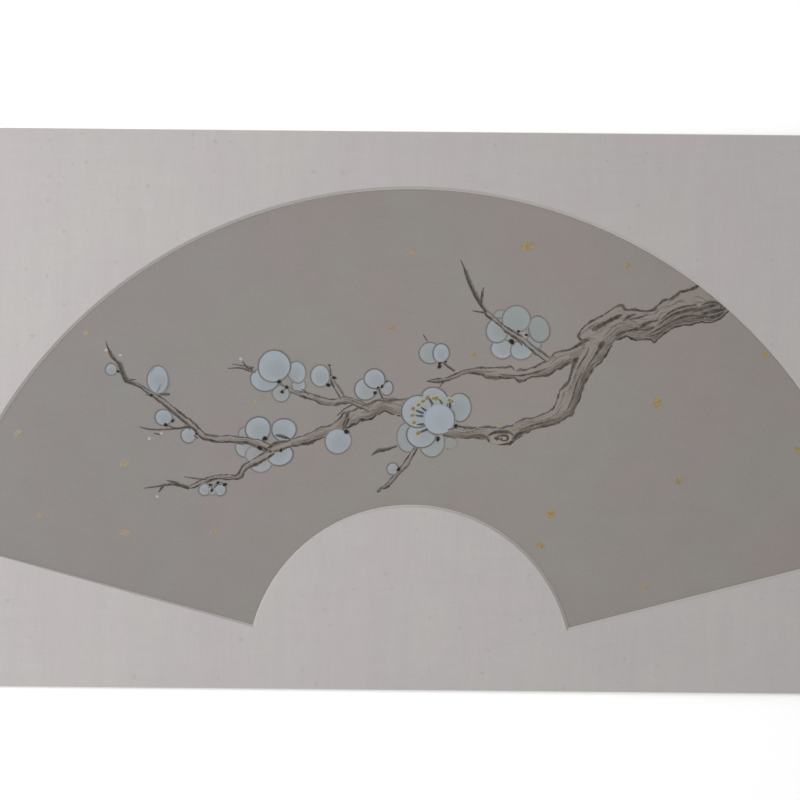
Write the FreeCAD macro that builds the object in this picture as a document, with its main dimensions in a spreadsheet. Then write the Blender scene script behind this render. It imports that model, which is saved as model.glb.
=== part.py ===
import FreeCAD, Part

import math
import os
import random

import Sketcher

# A painted fan leaf hinged to a backboard, under a board with a bevelled fan-shaped window. The two boards
# are joined along their top edges by a folded linen tape, so the window board opens like a book cover.
# Frame: the origin is on the table under the card's centre, +X runs to the painting's right, +Y towards its
# top, and +Z out of its face. Lengths are in millimetres and angles in degrees.

DIMENSIONS = {
    "card_width": 580.0,
    "card_height": 308.0,
    "back_paper": 0.2,
    "back_core": 1.2,
    "back_face": 0.2,
    "strip_thickness": 0.1,
    "lining_thickness": 0.15,
    "leaf_thickness": 0.15,
    "air_gap": 0.3,
    "window_liner": 0.15,
    "window_core": 1.15,
    "window_facing": 0.2,
    "fan_centre_drop": 142.0,
    "fan_outer_radius": 264.6,
    "fan_inner_radius": 90.3,
    "fan_edge_rise": 14.83,
    "leaf_overlap": 9.0,
    "tape_length": 560.0,
    "tape_leg": 15.0,
    "tape_thickness": 0.15,
    "strip_width": 16.0,
    "strip_length": 30.0,
    "strip_under_leaf": 12.0,
    "cross_length": 34.0,
    "cross_width": 10.0,
    "near_hinge_angle": 20.0,
    "far_hinge_angle": 42.0,
    "painting_turn": 0.545,
}

# The levels of the stack above the table, worked out from the sheet's thicknesses.
BOARD_TOP = "(Sizes.back_paper + Sizes.back_core + Sizes.back_face)"
LINING_LEVEL = f"({BOARD_TOP} + Sizes.strip_thickness)"
LEAF_LEVEL = f"({LINING_LEVEL} + Sizes.lining_thickness)"
WINDOW_LEVEL = f"({LEAF_LEVEL} + Sizes.leaf_thickness + Sizes.air_gap)"

HALF_HEIGHT = "(Sizes.card_height / 2)"
LEAF_EDGE_RADIUS = "(Sizes.fan_outer_radius + Sizes.leaf_overlap)"
STRIP_ABOVE_LEAF = "(Sizes.strip_length - Sizes.strip_under_leaf)"

# Sketcher's numbers for the origin point, the vertical axis, and an edge's start, end and centre.
ORIGIN = -1
VERTICAL_AXIS = -2
START = 1
END = 2
CENTRE = 3

HINGES = [
    ("far_left", -1, "Sizes.far_hinge_angle"),
    ("near_left", -1, "Sizes.near_hinge_angle"),
    ("near_right", 1, "Sizes.near_hinge_angle"),
    ("far_right", 1, "Sizes.far_hinge_angle"),
]

# The gold foil, one row for each torn piece: centre x, centre y, length, width and the turn of its length.
# The painter's own axes are turned a little about the fan's centre, and these are measured along them.
FOIL_PIECES = [
    (64.9, 91.0, 9.0, 5.0, 20.0),
    (120.4, 80.0, 5.0, 3.6, -30.0),
    (1.4, 88.0, 4.2, 3.2, 70.0),
    (-19.3, 49.5, 3.0, 2.0, 10.0),
    (-10.9, 45.7, 5.0, 3.6, 40.0),
    (-179.2, 42.8, 4.2, 3.6, 0.0),
    (35.1, 31.0, 5.0, 3.0, -15.0),
    (136.4, 5.0, 8.0, 5.4, 80.0),
    (-85.6, 5.0, 4.0, 2.8, 60.0),
    (-158.0, -29.0, 6.2, 4.6, 25.0),
    (-157.3, -67.5, 9.0, 4.6, -10.0),
    (-108.4, -66.8, 4.2, 3.4, 90.0),
    (-45.4, -23.0, 3.2, 1.6, 15.0),
    (-72.4, -32.7, 2.8, 2.0, -40.0),
    (77.4, -57.0, 6.2, 5.2, 35.0),
    (148.4, -38.7, 6.2, 4.6, 75.0),
    (71.7, -74.5, 6.0, 4.4, -20.0),
    (129.9, -97.0, 4.4, 3.6, 45.0),
    (49.1, -7.2, 3.2, 2.2, 10.0),
    (196.0, 31.0, 5.0, 3.6, 30.0),
    (214.0, -22.0, 6.0, 4.0, -50.0),
    (-217.0, -12.0, 5.4, 3.4, 55.0),
    (-205.0, -58.0, 4.0, 3.0, -25.0),
]
FOIL_THICKNESS = 0.04
FOIL_CORNERS = 11
FOIL_TEAR = 0.3
FOIL_SEED = 7


def make_sheet(doc):
    """Write the driving dimensions, one per row, with the name beside each."""
    sheet = doc.addObject("Spreadsheet::Sheet", "Sizes")
    for row, (name, value) in enumerate(DIMENSIONS.items(), start=1):
        sheet.set(f"A{row}", name)
        sheet.set(f"B{row}", str(value))
        sheet.setAlias(f"B{row}", name)
    doc.recompute()
    return sheet


def make_body(doc, label, level):
    """Start a sub-part whose own base plane lies at a level of the stack."""
    body = doc.addObject("PartDesign::Body", label)
    body.Label = label
    body.setExpression(".Placement.Base.z", level)
    return body


def make_sketch(body, name, height=None):
    """Put a sketch on the body's own base plane, or at a height above it."""
    sketch = body.newObject("Sketcher::SketchObject", name)
    support = [plane for plane in body.Origin.OriginFeatures if plane.Role == "XY_Plane"]
    sketch.AttachmentSupport = [(support[0], "")]
    sketch.MapMode = "FlatFace"
    if height:
        sketch.setExpression(".AttachmentOffset.Base.z", height)
    return sketch


def drive(sketch, name, constraint, expression):
    """Add a named sizing constraint and bind it to the sheet."""
    index = sketch.addConstraint(constraint)
    sketch.renameConstraint(index, name)
    sketch.setExpression(f"Constraints.{name}", expression)


def draw_rectangle(sketch, width, below, above):
    """Draw a rectangle centred on the vertical axis, reaching below and above the origin."""
    start = 10.0
    corners = [
        FreeCAD.Vector(-start, -start, 0),
        FreeCAD.Vector(start, -start, 0),
        FreeCAD.Vector(start, start, 0),
        FreeCAD.Vector(-start, start, 0),
    ]
    for i in range(4):
        sketch.addGeometry(Part.LineSegment(corners[i], corners[(i + 1) % 4]))
    for i in range(4):
        sketch.addConstraint(Sketcher.Constraint("Coincident", i, END, (i + 1) % 4, START))
    sketch.addConstraint(Sketcher.Constraint("Symmetric", 0, START, 0, END, VERTICAL_AXIS))
    sketch.addConstraint(Sketcher.Constraint("Vertical", 1))
    sketch.addConstraint(Sketcher.Constraint("Horizontal", 2))
    sketch.addConstraint(Sketcher.Constraint("Vertical", 3))
    drive(sketch, "width", Sketcher.Constraint("DistanceX", 0, START, 0, END, 2 * start), width)
    drive(sketch, "below", Sketcher.Constraint("DistanceY", 0, START, ORIGIN, START, start), below)
    drive(sketch, "above", Sketcher.Constraint("DistanceY", ORIGIN, START, 2, START, start), above)


def draw_fan(sketch, margin):
    """Draw the fan, widened by a margin: two arcs about one centre, and two straight ends.

    The straight ends stay parallel to the fan's own ends, so they meet at an apex below the arcs' centre.
    """
    drop = DIMENSIONS["fan_centre_drop"]
    rise = math.radians(DIMENSIONS["fan_edge_rise"])
    centre = FreeCAD.Vector(0, -drop, 0)
    normal = FreeCAD.Vector(0, 0, 1)
    outer = Part.Circle(centre, normal, DIMENSIONS["fan_outer_radius"])
    inner = Part.Circle(centre, normal, DIMENSIONS["fan_inner_radius"])
    outer_arc = Part.ArcOfCircle(outer, rise, math.pi - rise)
    inner_arc = Part.ArcOfCircle(inner, rise, math.pi - rise)
    sketch.addGeometry(outer_arc)
    sketch.addGeometry(inner_arc)
    sketch.addGeometry(Part.LineSegment(inner_arc.StartPoint, outer_arc.StartPoint))
    sketch.addGeometry(Part.LineSegment(inner_arc.EndPoint, outer_arc.EndPoint))
    sketch.addGeometry(Part.Point(centre), True)
    outer_id, inner_id, right_id, left_id, apex_id = range(5)
    for line, end in ((right_id, START), (left_id, END)):
        sketch.addConstraint(Sketcher.Constraint("Coincident", line, START, inner_id, end))
        sketch.addConstraint(Sketcher.Constraint("Coincident", line, END, outer_id, end))
    sketch.addConstraint(Sketcher.Constraint("Coincident", inner_id, CENTRE, outer_id, CENTRE))
    sketch.addConstraint(Sketcher.Constraint("Symmetric", outer_id, START, outer_id, END, VERTICAL_AXIS))
    sketch.addConstraint(Sketcher.Constraint("PointOnObject", apex_id, START, VERTICAL_AXIS))
    sketch.addConstraint(Sketcher.Constraint("PointOnObject", apex_id, START, right_id))
    sketch.addConstraint(Sketcher.Constraint("PointOnObject", apex_id, START, left_id))
    centre_height = Sketcher.Constraint("DistanceY", outer_id, CENTRE, ORIGIN, START, drop)
    drive(sketch, "centre_drop", centre_height, "Sizes.fan_centre_drop")
    apex_height = Sketcher.Constraint("DistanceY", apex_id, START, outer_id, CENTRE, 0.0)
    drive(sketch, "apex_drop", apex_height, f"({margin}) / cos(Sizes.fan_edge_rise * 1 deg)")
    outer_radius = Sketcher.Constraint("Radius", outer_id, DIMENSIONS["fan_outer_radius"])
    drive(sketch, "outer_radius", outer_radius, f"Sizes.fan_outer_radius + {margin}")
    inner_radius = Sketcher.Constraint("Radius", inner_id, DIMENSIONS["fan_inner_radius"])
    drive(sketch, "inner_radius", inner_radius, f"Sizes.fan_inner_radius - ({margin})")
    end_rise = Sketcher.Constraint("Angle", right_id, rise)
    drive(sketch, "end_rise", end_rise, "Sizes.fan_edge_rise * 1 deg")


def pad(body, name, sketch, thickness):
    """Raise a sketch to a thickness and make it the body's tip."""
    feature = body.newObject("PartDesign::Pad", name)
    feature.Profile = sketch
    feature.setExpression("Length", thickness)
    return feature


def make_plate(doc, label, level, width, below, above, thickness):
    """A flat rectangular piece: a layer of a board, a leg of the tape or a paper strip."""
    body = make_body(doc, label, level)
    outline = make_sketch(body, f"{label}_outline")
    draw_rectangle(outline, width, below, above)
    pad(body, f"{label}_pad", outline, thickness)
    return body


def make_card_layer(doc, label, level, thickness):
    """One full-size layer of a board."""
    return make_plate(doc, label, level, "Sizes.card_width", HALF_HEIGHT, HALF_HEIGHT, thickness)


def make_window_layer(doc, label, below, thickness):
    """One layer of the window board, cut through at 45 degrees, above the layers it lies on."""
    body = make_card_layer(doc, label, f"{WINDOW_LEVEL} + {below}", thickness)
    doc.recompute()
    whole = body.Shape.Volume
    foot = make_sketch(body, f"{label}_cut_foot")
    draw_fan(foot, below)
    mouth = make_sketch(body, f"{label}_cut_mouth", thickness)
    draw_fan(mouth, f"({below} + {thickness})")
    cut = body.newObject("PartDesign::SubtractiveLoft", f"{label}_bevel")
    cut.Profile = foot
    cut.Sections = [mouth]
    cut.Ruled = True
    doc.recompute()
    check_cut(label, whole, body.Shape.Volume)
    return body


def make_leaf_layer(doc, label, level, thickness):
    """The painting's paper or its lining: the fan, reaching a little under the window board."""
    body = make_body(doc, label, level)
    outline = make_sketch(body, f"{label}_outline")
    draw_fan(outline, "Sizes.leaf_overlap")
    pad(body, f"{label}_pad", outline, thickness)
    return body


def make_tape_leg(doc, label, level):
    """One leg of the linen tape, along the card's top edge."""
    half_leg = "(Sizes.tape_leg / 2)"
    leg = make_plate(doc, label, level, "Sizes.tape_length", half_leg, half_leg, "Sizes.tape_thickness")
    leg.setExpression(".Placement.Base.y", f"{HALF_HEIGHT} - {half_leg}")
    return leg


def place_on_rim(piece, side, angle, outward):
    """Turn a hinge piece to face the fan's centre, at a distance outside the leaf's outer edge."""
    reach = f"({LEAF_EDGE_RADIUS} + {outward})"
    piece.setExpression(".Placement.Base.x", f"{side} * {reach} * sin({angle} * 1 deg)")
    piece.setExpression(".Placement.Base.y", f"{reach} * cos({angle} * 1 deg) - Sizes.fan_centre_drop")
    piece.setExpression(".Placement.Rotation.Angle", f"{-side} * {angle} * 1 deg")


def make_hinge_strip(doc, label, side, angle):
    """The hanging strip: pasted behind the leaf below its edge, and lying on the backboard above it."""
    strip = make_plate(
        doc,
        label,
        BOARD_TOP,
        "Sizes.strip_width",
        "Sizes.strip_under_leaf",
        STRIP_ABOVE_LEAF,
        "Sizes.strip_thickness",
    )
    place_on_rim(strip, side, angle, "0")
    return strip


def make_hinge_cross(doc, label, side, angle):
    """The cross strip: it lies on the backboard, and steps up and over the hanging strip."""
    half_width = "(Sizes.cross_width / 2)"
    thickness = "Sizes.strip_thickness"
    body = make_plate(doc, label, BOARD_TOP, "Sizes.cross_length", half_width, half_width, thickness)
    bridge = make_sketch(body, f"{label}_bridge_outline")
    draw_rectangle(bridge, "Sizes.strip_width + 2 * Sizes.strip_thickness", half_width, half_width)
    pad(body, f"{label}_bridge", bridge, f"2 * {thickness}")
    doc.recompute()
    whole = body.Shape.Volume
    passage = make_sketch(body, f"{label}_passage_outline")
    draw_rectangle(passage, "Sizes.strip_width", half_width, half_width)
    pocket = body.newObject("PartDesign::Pocket", f"{label}_passage")
    pocket.Profile = passage
    pocket.setExpression("Length", thickness)
    pocket.Reversed = True
    doc.recompute()
    check_cut(label, whole, body.Shape.Volume)
    place_on_rim(body, side, angle, f"{STRIP_ABOVE_LEAF} / 2")
    return body


def foil_outline(x, y, length, width, turn, rng):
    """A torn piece's outline: an oval whose corners fall short of it by a random part of the tear."""
    points = []
    for corner in range(FOIL_CORNERS):
        angle = 2 * math.pi * corner / FOIL_CORNERS
        reach = 1 - FOIL_TEAR * rng.random()
        along = 0.5 * length * reach * math.cos(angle)
        across = 0.5 * width * reach * math.sin(angle)
        points.append(FreeCAD.Vector(along, across, 0))
    wire = Part.makePolygon(points + points[:1])
    wire.rotate(FreeCAD.Vector(0, 0, 0), FreeCAD.Vector(0, 0, 1), turn)
    wire.translate(FreeCAD.Vector(x, y, 0))
    return wire


def make_gold_flecks(doc, sheet):
    """All the pieces of gold foil, as separate solids lying on the leaf."""
    rng = random.Random(FOIL_SEED)
    flecks = []
    for x, y, length, width, turn in FOIL_PIECES:
        face = Part.Face(foil_outline(x, y, length, width, turn, rng))
        flecks.append(face.extrude(FreeCAD.Vector(0, 0, FOIL_THICKNESS)))
    feature = doc.addObject("Part::Feature", "gold_flecks")
    feature.Label = "gold_flecks"
    feature.Shape = Part.makeCompound(flecks)
    stack = ("back_paper", "back_core", "back_face", "strip_thickness", "lining_thickness", "leaf_thickness")
    level = FreeCAD.Vector(0, 0, sum(sheet.get(name) for name in stack))
    turn = FreeCAD.Rotation(FreeCAD.Vector(0, 0, 1), sheet.get("painting_turn"))
    fan_centre = FreeCAD.Vector(0, -sheet.get("fan_centre_drop"), 0)
    feature.Placement = FreeCAD.Placement(level, turn, fan_centre)
    return feature


def check_cut(label, before, after):
    """Stop if a cut took nothing away, or everything."""
    if not 0 < after < before:
        raise RuntimeError(f"{label}: its cut left {after} of {before} cubic mm")


def make_parts(doc, sheet):
    """Build every sub-part, from the table upwards."""
    parts = [
        make_card_layer(doc, "backboard_back_paper", "0", "Sizes.back_paper"),
        make_card_layer(doc, "backboard_core", "Sizes.back_paper", "Sizes.back_core"),
        make_card_layer(doc, "backboard_face_paper", "Sizes.back_paper + Sizes.back_core", "Sizes.back_face"),
    ]
    for name, side, angle in HINGES:
        parts.append(make_hinge_strip(doc, f"leaf_hinge_strip_{name}", side, angle))
        parts.append(make_hinge_cross(doc, f"leaf_hinge_cross_{name}", side, angle))
    parts += [
        make_leaf_layer(doc, "leaf_lining", LINING_LEVEL, "Sizes.lining_thickness"),
        make_leaf_layer(doc, "painted_leaf", LEAF_LEVEL, "Sizes.leaf_thickness"),
        make_gold_flecks(doc, sheet),
        make_tape_leg(doc, "hinge_tape_lower", BOARD_TOP),
        make_tape_leg(doc, "hinge_tape_upper", f"{WINDOW_LEVEL} - Sizes.tape_thickness"),
        make_window_layer(doc, "window_liner_paper", "0", "Sizes.window_liner"),
        make_window_layer(doc, "window_board_core", "Sizes.window_liner", "Sizes.window_core"),
        make_window_layer(
            doc, "window_facing_paper", "(Sizes.window_liner + Sizes.window_core)", "Sizes.window_facing"
        ),
    ]
    doc.recompute()
    return parts


def check(doc, parts):
    """Stop before anything is written if a feature failed or a shape is bad."""
    for item in doc.Objects:
        if "Invalid" in item.State or "Error" in item.State:
            raise RuntimeError(f"{item.Label} did not recompute: {item.State}")
    for part in parts:
        if part.Shape.isNull() or not part.Shape.isValid():
            raise RuntimeError(f"{part.Label} has no valid shape")


def main():
    doc = FreeCAD.newDocument("mounted_fan_painting")
    sheet = make_sheet(doc)
    parts = make_parts(doc, sheet)
    check(doc, parts)
    os.makedirs("parts", exist_ok=True)
    for part in parts:
        part.Shape.exportStep(f"parts/{part.Label}.step")
        box = part.Shape.BoundBox
        print(
            f"{part.Label}: {part.Shape.Volume:.1f} mm3, {len(part.Shape.Solids)} solids,"
            f" z {box.ZMin:.3f} to {box.ZMax:.3f}"
        )


main()
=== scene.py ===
import math
import random

import bpy
import numpy as np
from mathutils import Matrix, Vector, noise


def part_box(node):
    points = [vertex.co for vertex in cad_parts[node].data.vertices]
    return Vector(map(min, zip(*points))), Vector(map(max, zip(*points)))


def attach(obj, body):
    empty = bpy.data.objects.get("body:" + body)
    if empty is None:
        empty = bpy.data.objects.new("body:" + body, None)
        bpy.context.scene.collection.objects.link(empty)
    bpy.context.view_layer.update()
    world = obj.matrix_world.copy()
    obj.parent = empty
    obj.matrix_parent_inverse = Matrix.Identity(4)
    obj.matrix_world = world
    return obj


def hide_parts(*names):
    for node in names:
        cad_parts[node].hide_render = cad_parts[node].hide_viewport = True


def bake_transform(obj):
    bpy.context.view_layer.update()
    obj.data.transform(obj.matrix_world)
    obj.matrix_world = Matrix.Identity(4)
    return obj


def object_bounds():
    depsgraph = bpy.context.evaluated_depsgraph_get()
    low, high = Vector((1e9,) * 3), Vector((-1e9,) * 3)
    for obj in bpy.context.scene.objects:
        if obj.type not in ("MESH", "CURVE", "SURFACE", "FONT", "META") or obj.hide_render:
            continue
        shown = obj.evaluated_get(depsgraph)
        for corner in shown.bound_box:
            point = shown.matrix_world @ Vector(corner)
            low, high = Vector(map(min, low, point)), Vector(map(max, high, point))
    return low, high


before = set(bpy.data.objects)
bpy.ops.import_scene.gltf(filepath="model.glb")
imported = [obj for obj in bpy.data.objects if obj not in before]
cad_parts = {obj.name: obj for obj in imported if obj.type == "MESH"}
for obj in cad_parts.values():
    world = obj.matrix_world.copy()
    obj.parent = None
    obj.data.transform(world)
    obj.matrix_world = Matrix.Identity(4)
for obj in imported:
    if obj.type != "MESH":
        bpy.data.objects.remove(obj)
cad_low, cad_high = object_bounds()

# The scene is in metres. The painting is described in millimetres on the painter's own axes, whose origin
# is near the card's centre and which stand a little askew to the fan.
MM = 0.001
PAINTING_TURN = math.radians(0.545)
PAINTER_CENTRE = np.array([0.0, -142.0])
FAN_OUTER_RADIUS = 273.6
FAN_INNER_RADIUS = 81.3
FAN_EDGE_RISE = math.radians(14.83)
FAN_MARGIN = 9.0
COCKLE = 0.09
MARK_STEP = 0.0006
MARK_CYCLE = 40

leaf_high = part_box("painted_leaf")[1]
LEAF_TOP = leaf_high.z / MM
FAN_CENTRE = np.array([0.0, leaf_high.y / MM - FAN_OUTER_RADIUS])


# ---------------------------------------------------------------- colours and shader nodes

def srgb(red, green, blue):
    """A colour given as screen values from 0 to 255, as the linear numbers that a shader takes."""
    channels = []
    for value in (red, green, blue):
        share = value / 255
        channels.append(share / 12.92 if share <= 0.04045 else ((share + 0.055) / 1.055) ** 2.4)
    return tuple(channels) + (1.0,)


class Nodes:
    """Adds nodes to a tree, with their inputs given by name as values or as other nodes' sockets."""

    def __init__(self, tree):
        self.tree = tree

    def add(self, kind, settings=None, **inputs):
        node = self.tree.nodes.new(kind)
        for name, value in (settings or {}).items():
            setattr(node, name, value)
        for name, value in inputs.items():
            self.feed(node.inputs[name.replace("_", " ")], value)
        return node

    def feed(self, socket, value):
        if isinstance(value, bpy.types.NodeSocket):
            self.tree.links.new(value, socket)
        else:
            socket.default_value = value

    def math(self, operation, *values, clamp=False):
        node = self.add("ShaderNodeMath", {"operation": operation, "use_clamp": clamp})
        for socket, value in zip(node.inputs, values):
            self.feed(socket, value)
        return node.outputs[0]

    def times(self, first, second):
        return self.math("MULTIPLY", first, second)

    def plus(self, first, second):
        return self.math("ADD", first, second)

    def along(self, place, axis):
        """A place's coordinate along an axis, given as 0, 1 or 2."""
        return self.add("ShaderNodeSeparateXYZ", Vector=place).outputs[axis]

    def noise(self, where, scale, detail=2.0, stretch=(1, 1, 1), turn=0.0):
        """A noise value over a place, with a stretch along each axis before its scale."""
        mapped = self.add("ShaderNodeMapping", Vector=where, Scale=stretch, Rotation=(0, 0, turn))
        texture = self.add(
            "ShaderNodeTexNoise", Vector=mapped.outputs[0], Scale=scale, Detail=detail
        )
        return texture.outputs["Factor"] if "Factor" in texture.outputs else texture.outputs[0]

    def ramp(self, value, low, high, first=0.0, last=1.0, kind="SMOOTHSTEP"):
        """A value carried from low..high to first..last, and held there beyond its ends."""
        node = self.add("ShaderNodeMapRange", {"interpolation_type": kind}, Value=value)
        for name, number in (("From Min", low), ("From Max", high), ("To Min", first), ("To Max", last)):
            node.inputs[name].default_value = number
        return node.outputs[0]

    def mix(self, factor, first, second, blend="MIX"):
        node = self.add("ShaderNodeMix", {"data_type": "RGBA", "blend_type": blend})
        self.feed(node.inputs[0], factor)
        self.feed(node.inputs[6], first)
        self.feed(node.inputs[7], second)
        return node.outputs[2]

    def shade(self, colour, values, strength):
        """A colour made darker and lighter by a noise value, by a share of itself."""
        factor = self.math("MULTIPLY_ADD", self.math("SUBTRACT", values, 0.5), 2 * strength, 1.0)
        grey = self.add("ShaderNodeCombineColor", Red=factor, Green=factor, Blue=factor)
        return self.mix(1.0, colour, grey.outputs[0], "MULTIPLY")


def object_place(nodes):
    return nodes.add("ShaderNodeTexCoord").outputs["Object"]


def new_material(name, roughness=0.85, metallic=0.0, specular=0.35):
    """A material with its shader's uniform values set, and the nodes to build its pattern with."""
    material = bpy.data.materials.new(name)
    material.use_nodes = True
    nodes = Nodes(material.node_tree)
    shader = material.node_tree.nodes["Principled BSDF"]
    shader.inputs["Roughness"].default_value = roughness
    shader.inputs["Metallic"].default_value = metallic
    shader.inputs["Specular IOR Level"].default_value = specular
    return material, nodes, shader


def add_bump(nodes, shader, height, strength, distance):
    bump = nodes.add("ShaderNodeBump", Height=height, Strength=strength, Distance=distance)
    nodes.feed(shader.inputs["Normal"], bump.outputs[0])


def make_leaf_ground():
    """The leaf's paper as a node group, so that thin paint can let it show through, with a painted shade
    that darkens it towards the left.
    """
    group = bpy.data.node_groups.new("leaf_ground", "ShaderNodeTree")
    group.interface.new_socket("Color", in_out="OUTPUT", socket_type="NodeSocketColor")
    group.interface.new_socket("Height", in_out="OUTPUT", socket_type="NodeSocketFloat")
    group.interface.new_socket("Painted_Shade", in_out="OUTPUT", socket_type="NodeSocketColor")
    nodes = Nodes(group)
    place = object_place(nodes)
    blotches = nodes.ramp(nodes.noise(place, 15, 4), 0.36, 0.64)
    colour = nodes.mix(blotches, srgb(144, 136, 133), srgb(142, 138, 133))
    rosy = nodes.ramp(nodes.noise(place, 27, 3, (1.3, 0.8, 1), 0.6), 0.52, 0.72)
    colour = nodes.mix(nodes.times(rosy, 0.4), colour, srgb(145, 134, 133))
    clouds = nodes.noise(place, 40, 5)
    colour = nodes.shade(colour, clouds, 0.045)
    wash = nodes.noise(place, 30, 3, (1, 6, 1))
    colour = nodes.shade(colour, wash, 0.02)
    grain = nodes.noise(place, 900, 4)
    colour = nodes.shade(colour, grain, 0.09)
    heights = grain
    for turn in (0.35, 1.4, 2.5):
        fibre = nodes.noise(place, 260, 1, (1, 11, 1), turn)
        fibre = nodes.ramp(fibre, 0.68, 0.76)
        colour = nodes.mix(nodes.times(fibre, 0.16), colour, srgb(168, 162, 154))
        heights = nodes.plus(heights, nodes.times(fibre, 0.6))
    # Painted shade: the paper is made darker towards the left, where the key lamp lights the leaf more. This
    # darkening is also given out for the paint on the leaf to share.
    painted_shade_to_left = nodes.ramp(nodes.along(place, 0), 0.06, -0.18, kind="LINEAR")
    tone = nodes.mix(painted_shade_to_left, (1.0, 1.0, 1.0, 1.0), (0.855, 0.875, 0.895, 1.0))
    colour = nodes.mix(1.0, colour, tone, "MULTIPLY")
    out = nodes.add("NodeGroupOutput")
    nodes.feed(out.inputs["Color"], colour)
    nodes.feed(out.inputs["Painted_Shade"], tone)
    nodes.feed(out.inputs["Height"], heights)
    return group


LEAF_GROUND = make_leaf_ground()


def make_leaf_material():
    material, nodes, shader = new_material("leaf_paper", roughness=0.9, specular=0.2)
    ground = nodes.add("ShaderNodeGroup", {"node_tree": LEAF_GROUND})
    nodes.feed(shader.inputs["Base Color"], ground.outputs["Color"])
    add_bump(nodes, shader, ground.outputs["Height"], 0.35, 0.0001)
    return material


def make_paint_material(name, grain, roughness):
    """Paint whose colour and cover are stored at its points, over the leaf's own paper."""
    material, nodes, shader = new_material(name, roughness=roughness, specular=0.25)
    place = object_place(nodes)
    ground = nodes.add("ShaderNodeGroup", {"node_tree": LEAF_GROUND})
    tint = nodes.add("ShaderNodeAttribute", {"attribute_name": "tint"})
    cover = nodes.add("ShaderNodeAttribute", {"attribute_name": "cover"})
    speckle = nodes.noise(place, 1400, 3)
    pool = nodes.noise(place, 260, 2)
    colour = nodes.shade(tint.outputs["Color"], pool, grain)
    # Painted shade: the paint is darkened towards the left by the same amount as the leaf's paper.
    colour = nodes.mix(1.0, colour, ground.outputs["Painted_Shade"], "MULTIPLY")
    body = nodes.math("SUBTRACT", 1.0, cover.outputs["Fac"], clamp=True)
    gaps = nodes.times(nodes.ramp(speckle, 0.42, 0.75), nodes.times(body, 6 * grain))
    amount = nodes.math("SUBTRACT", cover.outputs["Fac"], gaps, clamp=True)
    nodes.feed(shader.inputs["Base Color"], nodes.mix(amount, ground.outputs["Color"], colour))
    add_bump(nodes, shader, nodes.plus(speckle, ground.outputs["Height"]), 0.3, 0.00008)
    return material


def make_plain_paper(name, colour, fibre_colour, fibres):
    """A smooth board paper or tissue: fine grain, soft clouding and a share of long pale fibres."""
    material, nodes, shader = new_material(name, roughness=0.88, specular=0.2)
    place = object_place(nodes)
    tone = nodes.shade(srgb(*colour), nodes.noise(place, 25, 3), 0.04)
    fine = nodes.noise(place, 700, 4)
    tone = nodes.shade(tone, fine, 0.05)
    height = fine
    for turn in (0.2, 1.1, 2.2, 2.9):
        strand = nodes.ramp(nodes.noise(place, 190, 1, (1, 14, 1), turn), 0.66, 0.72)
        tone = nodes.mix(nodes.times(strand, fibres), tone, srgb(*fibre_colour))
        height = nodes.plus(height, strand)
    nodes.feed(shader.inputs["Base Color"], tone)
    add_bump(nodes, shader, height, 0.3, 0.0001)
    return material


def make_window_paper():
    """The window board's face: pale laid paper with a fine uneven weave pressed into it."""
    material, nodes, shader = new_material("window_paper", roughness=0.85, specular=0.2)
    place = object_place(nodes)
    clouds = nodes.ramp(nodes.noise(place, 16, 3), 0.4, 0.6)
    tone = nodes.mix(clouds, srgb(179, 173, 174), srgb(178, 175, 173))
    warm = nodes.ramp(nodes.noise(place, 28, 2, (2.2, 0.7, 1)), 0.5, 0.7)
    tone = nodes.mix(nodes.times(warm, 0.4), tone, srgb(181, 173, 174))
    upright = nodes.noise(place, 150, 3, (1, 0.09, 1))
    level = nodes.noise(place, 150, 3, (0.09, 1, 1))
    fine_upright = nodes.noise(place, 900, 1, (1, 0.12, 1))
    fine_level = nodes.noise(place, 900, 1, (0.12, 1, 1))
    tone = nodes.shade(tone, upright, 0.035)
    tone = nodes.shade(tone, level, 0.02)
    tone = nodes.shade(tone, fine_upright, 0.03)
    tone = nodes.shade(tone, fine_level, 0.03)
    specks = nodes.ramp(nodes.noise(place, 240, 0), 0.77, 0.83)
    tone = nodes.mix(nodes.times(specks, 0.35), tone, srgb(158, 152, 146))
    nodes.feed(shader.inputs["Base Color"], tone)
    weave = nodes.plus(fine_upright, fine_level)
    relief = nodes.plus(weave, nodes.noise(place, 1600, 2))
    add_bump(nodes, shader, relief, 0.5, 0.00012)
    return material


def make_board_core():
    """The pulp of the boards, with faint lines where its plies meet, seen at every cut edge."""
    material, nodes, shader = new_material("board_core", roughness=0.9, specular=0.2)
    place = object_place(nodes)
    pulp = nodes.noise(place, 1100, 4)
    tone = nodes.shade(srgb(178, 174, 170), pulp, 0.06)
    height = nodes.along(place, 2)
    wander = nodes.times(nodes.noise(place, 300, 2), 0.00012)
    level = nodes.math("DIVIDE", nodes.plus(height, wander), 0.0003)
    ply = nodes.math("ABSOLUTE", nodes.math("SUBTRACT", nodes.math("FRACT", level), 0.5))
    seam = nodes.ramp(ply, 0.42, 0.5)
    tone = nodes.mix(nodes.times(seam, 0.35), tone, srgb(158, 152, 145))
    nodes.feed(shader.inputs["Base Color"], tone)
    add_bump(nodes, shader, nodes.math("SUBTRACT", pulp, seam), 0.4, 0.0001)
    return material


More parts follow.
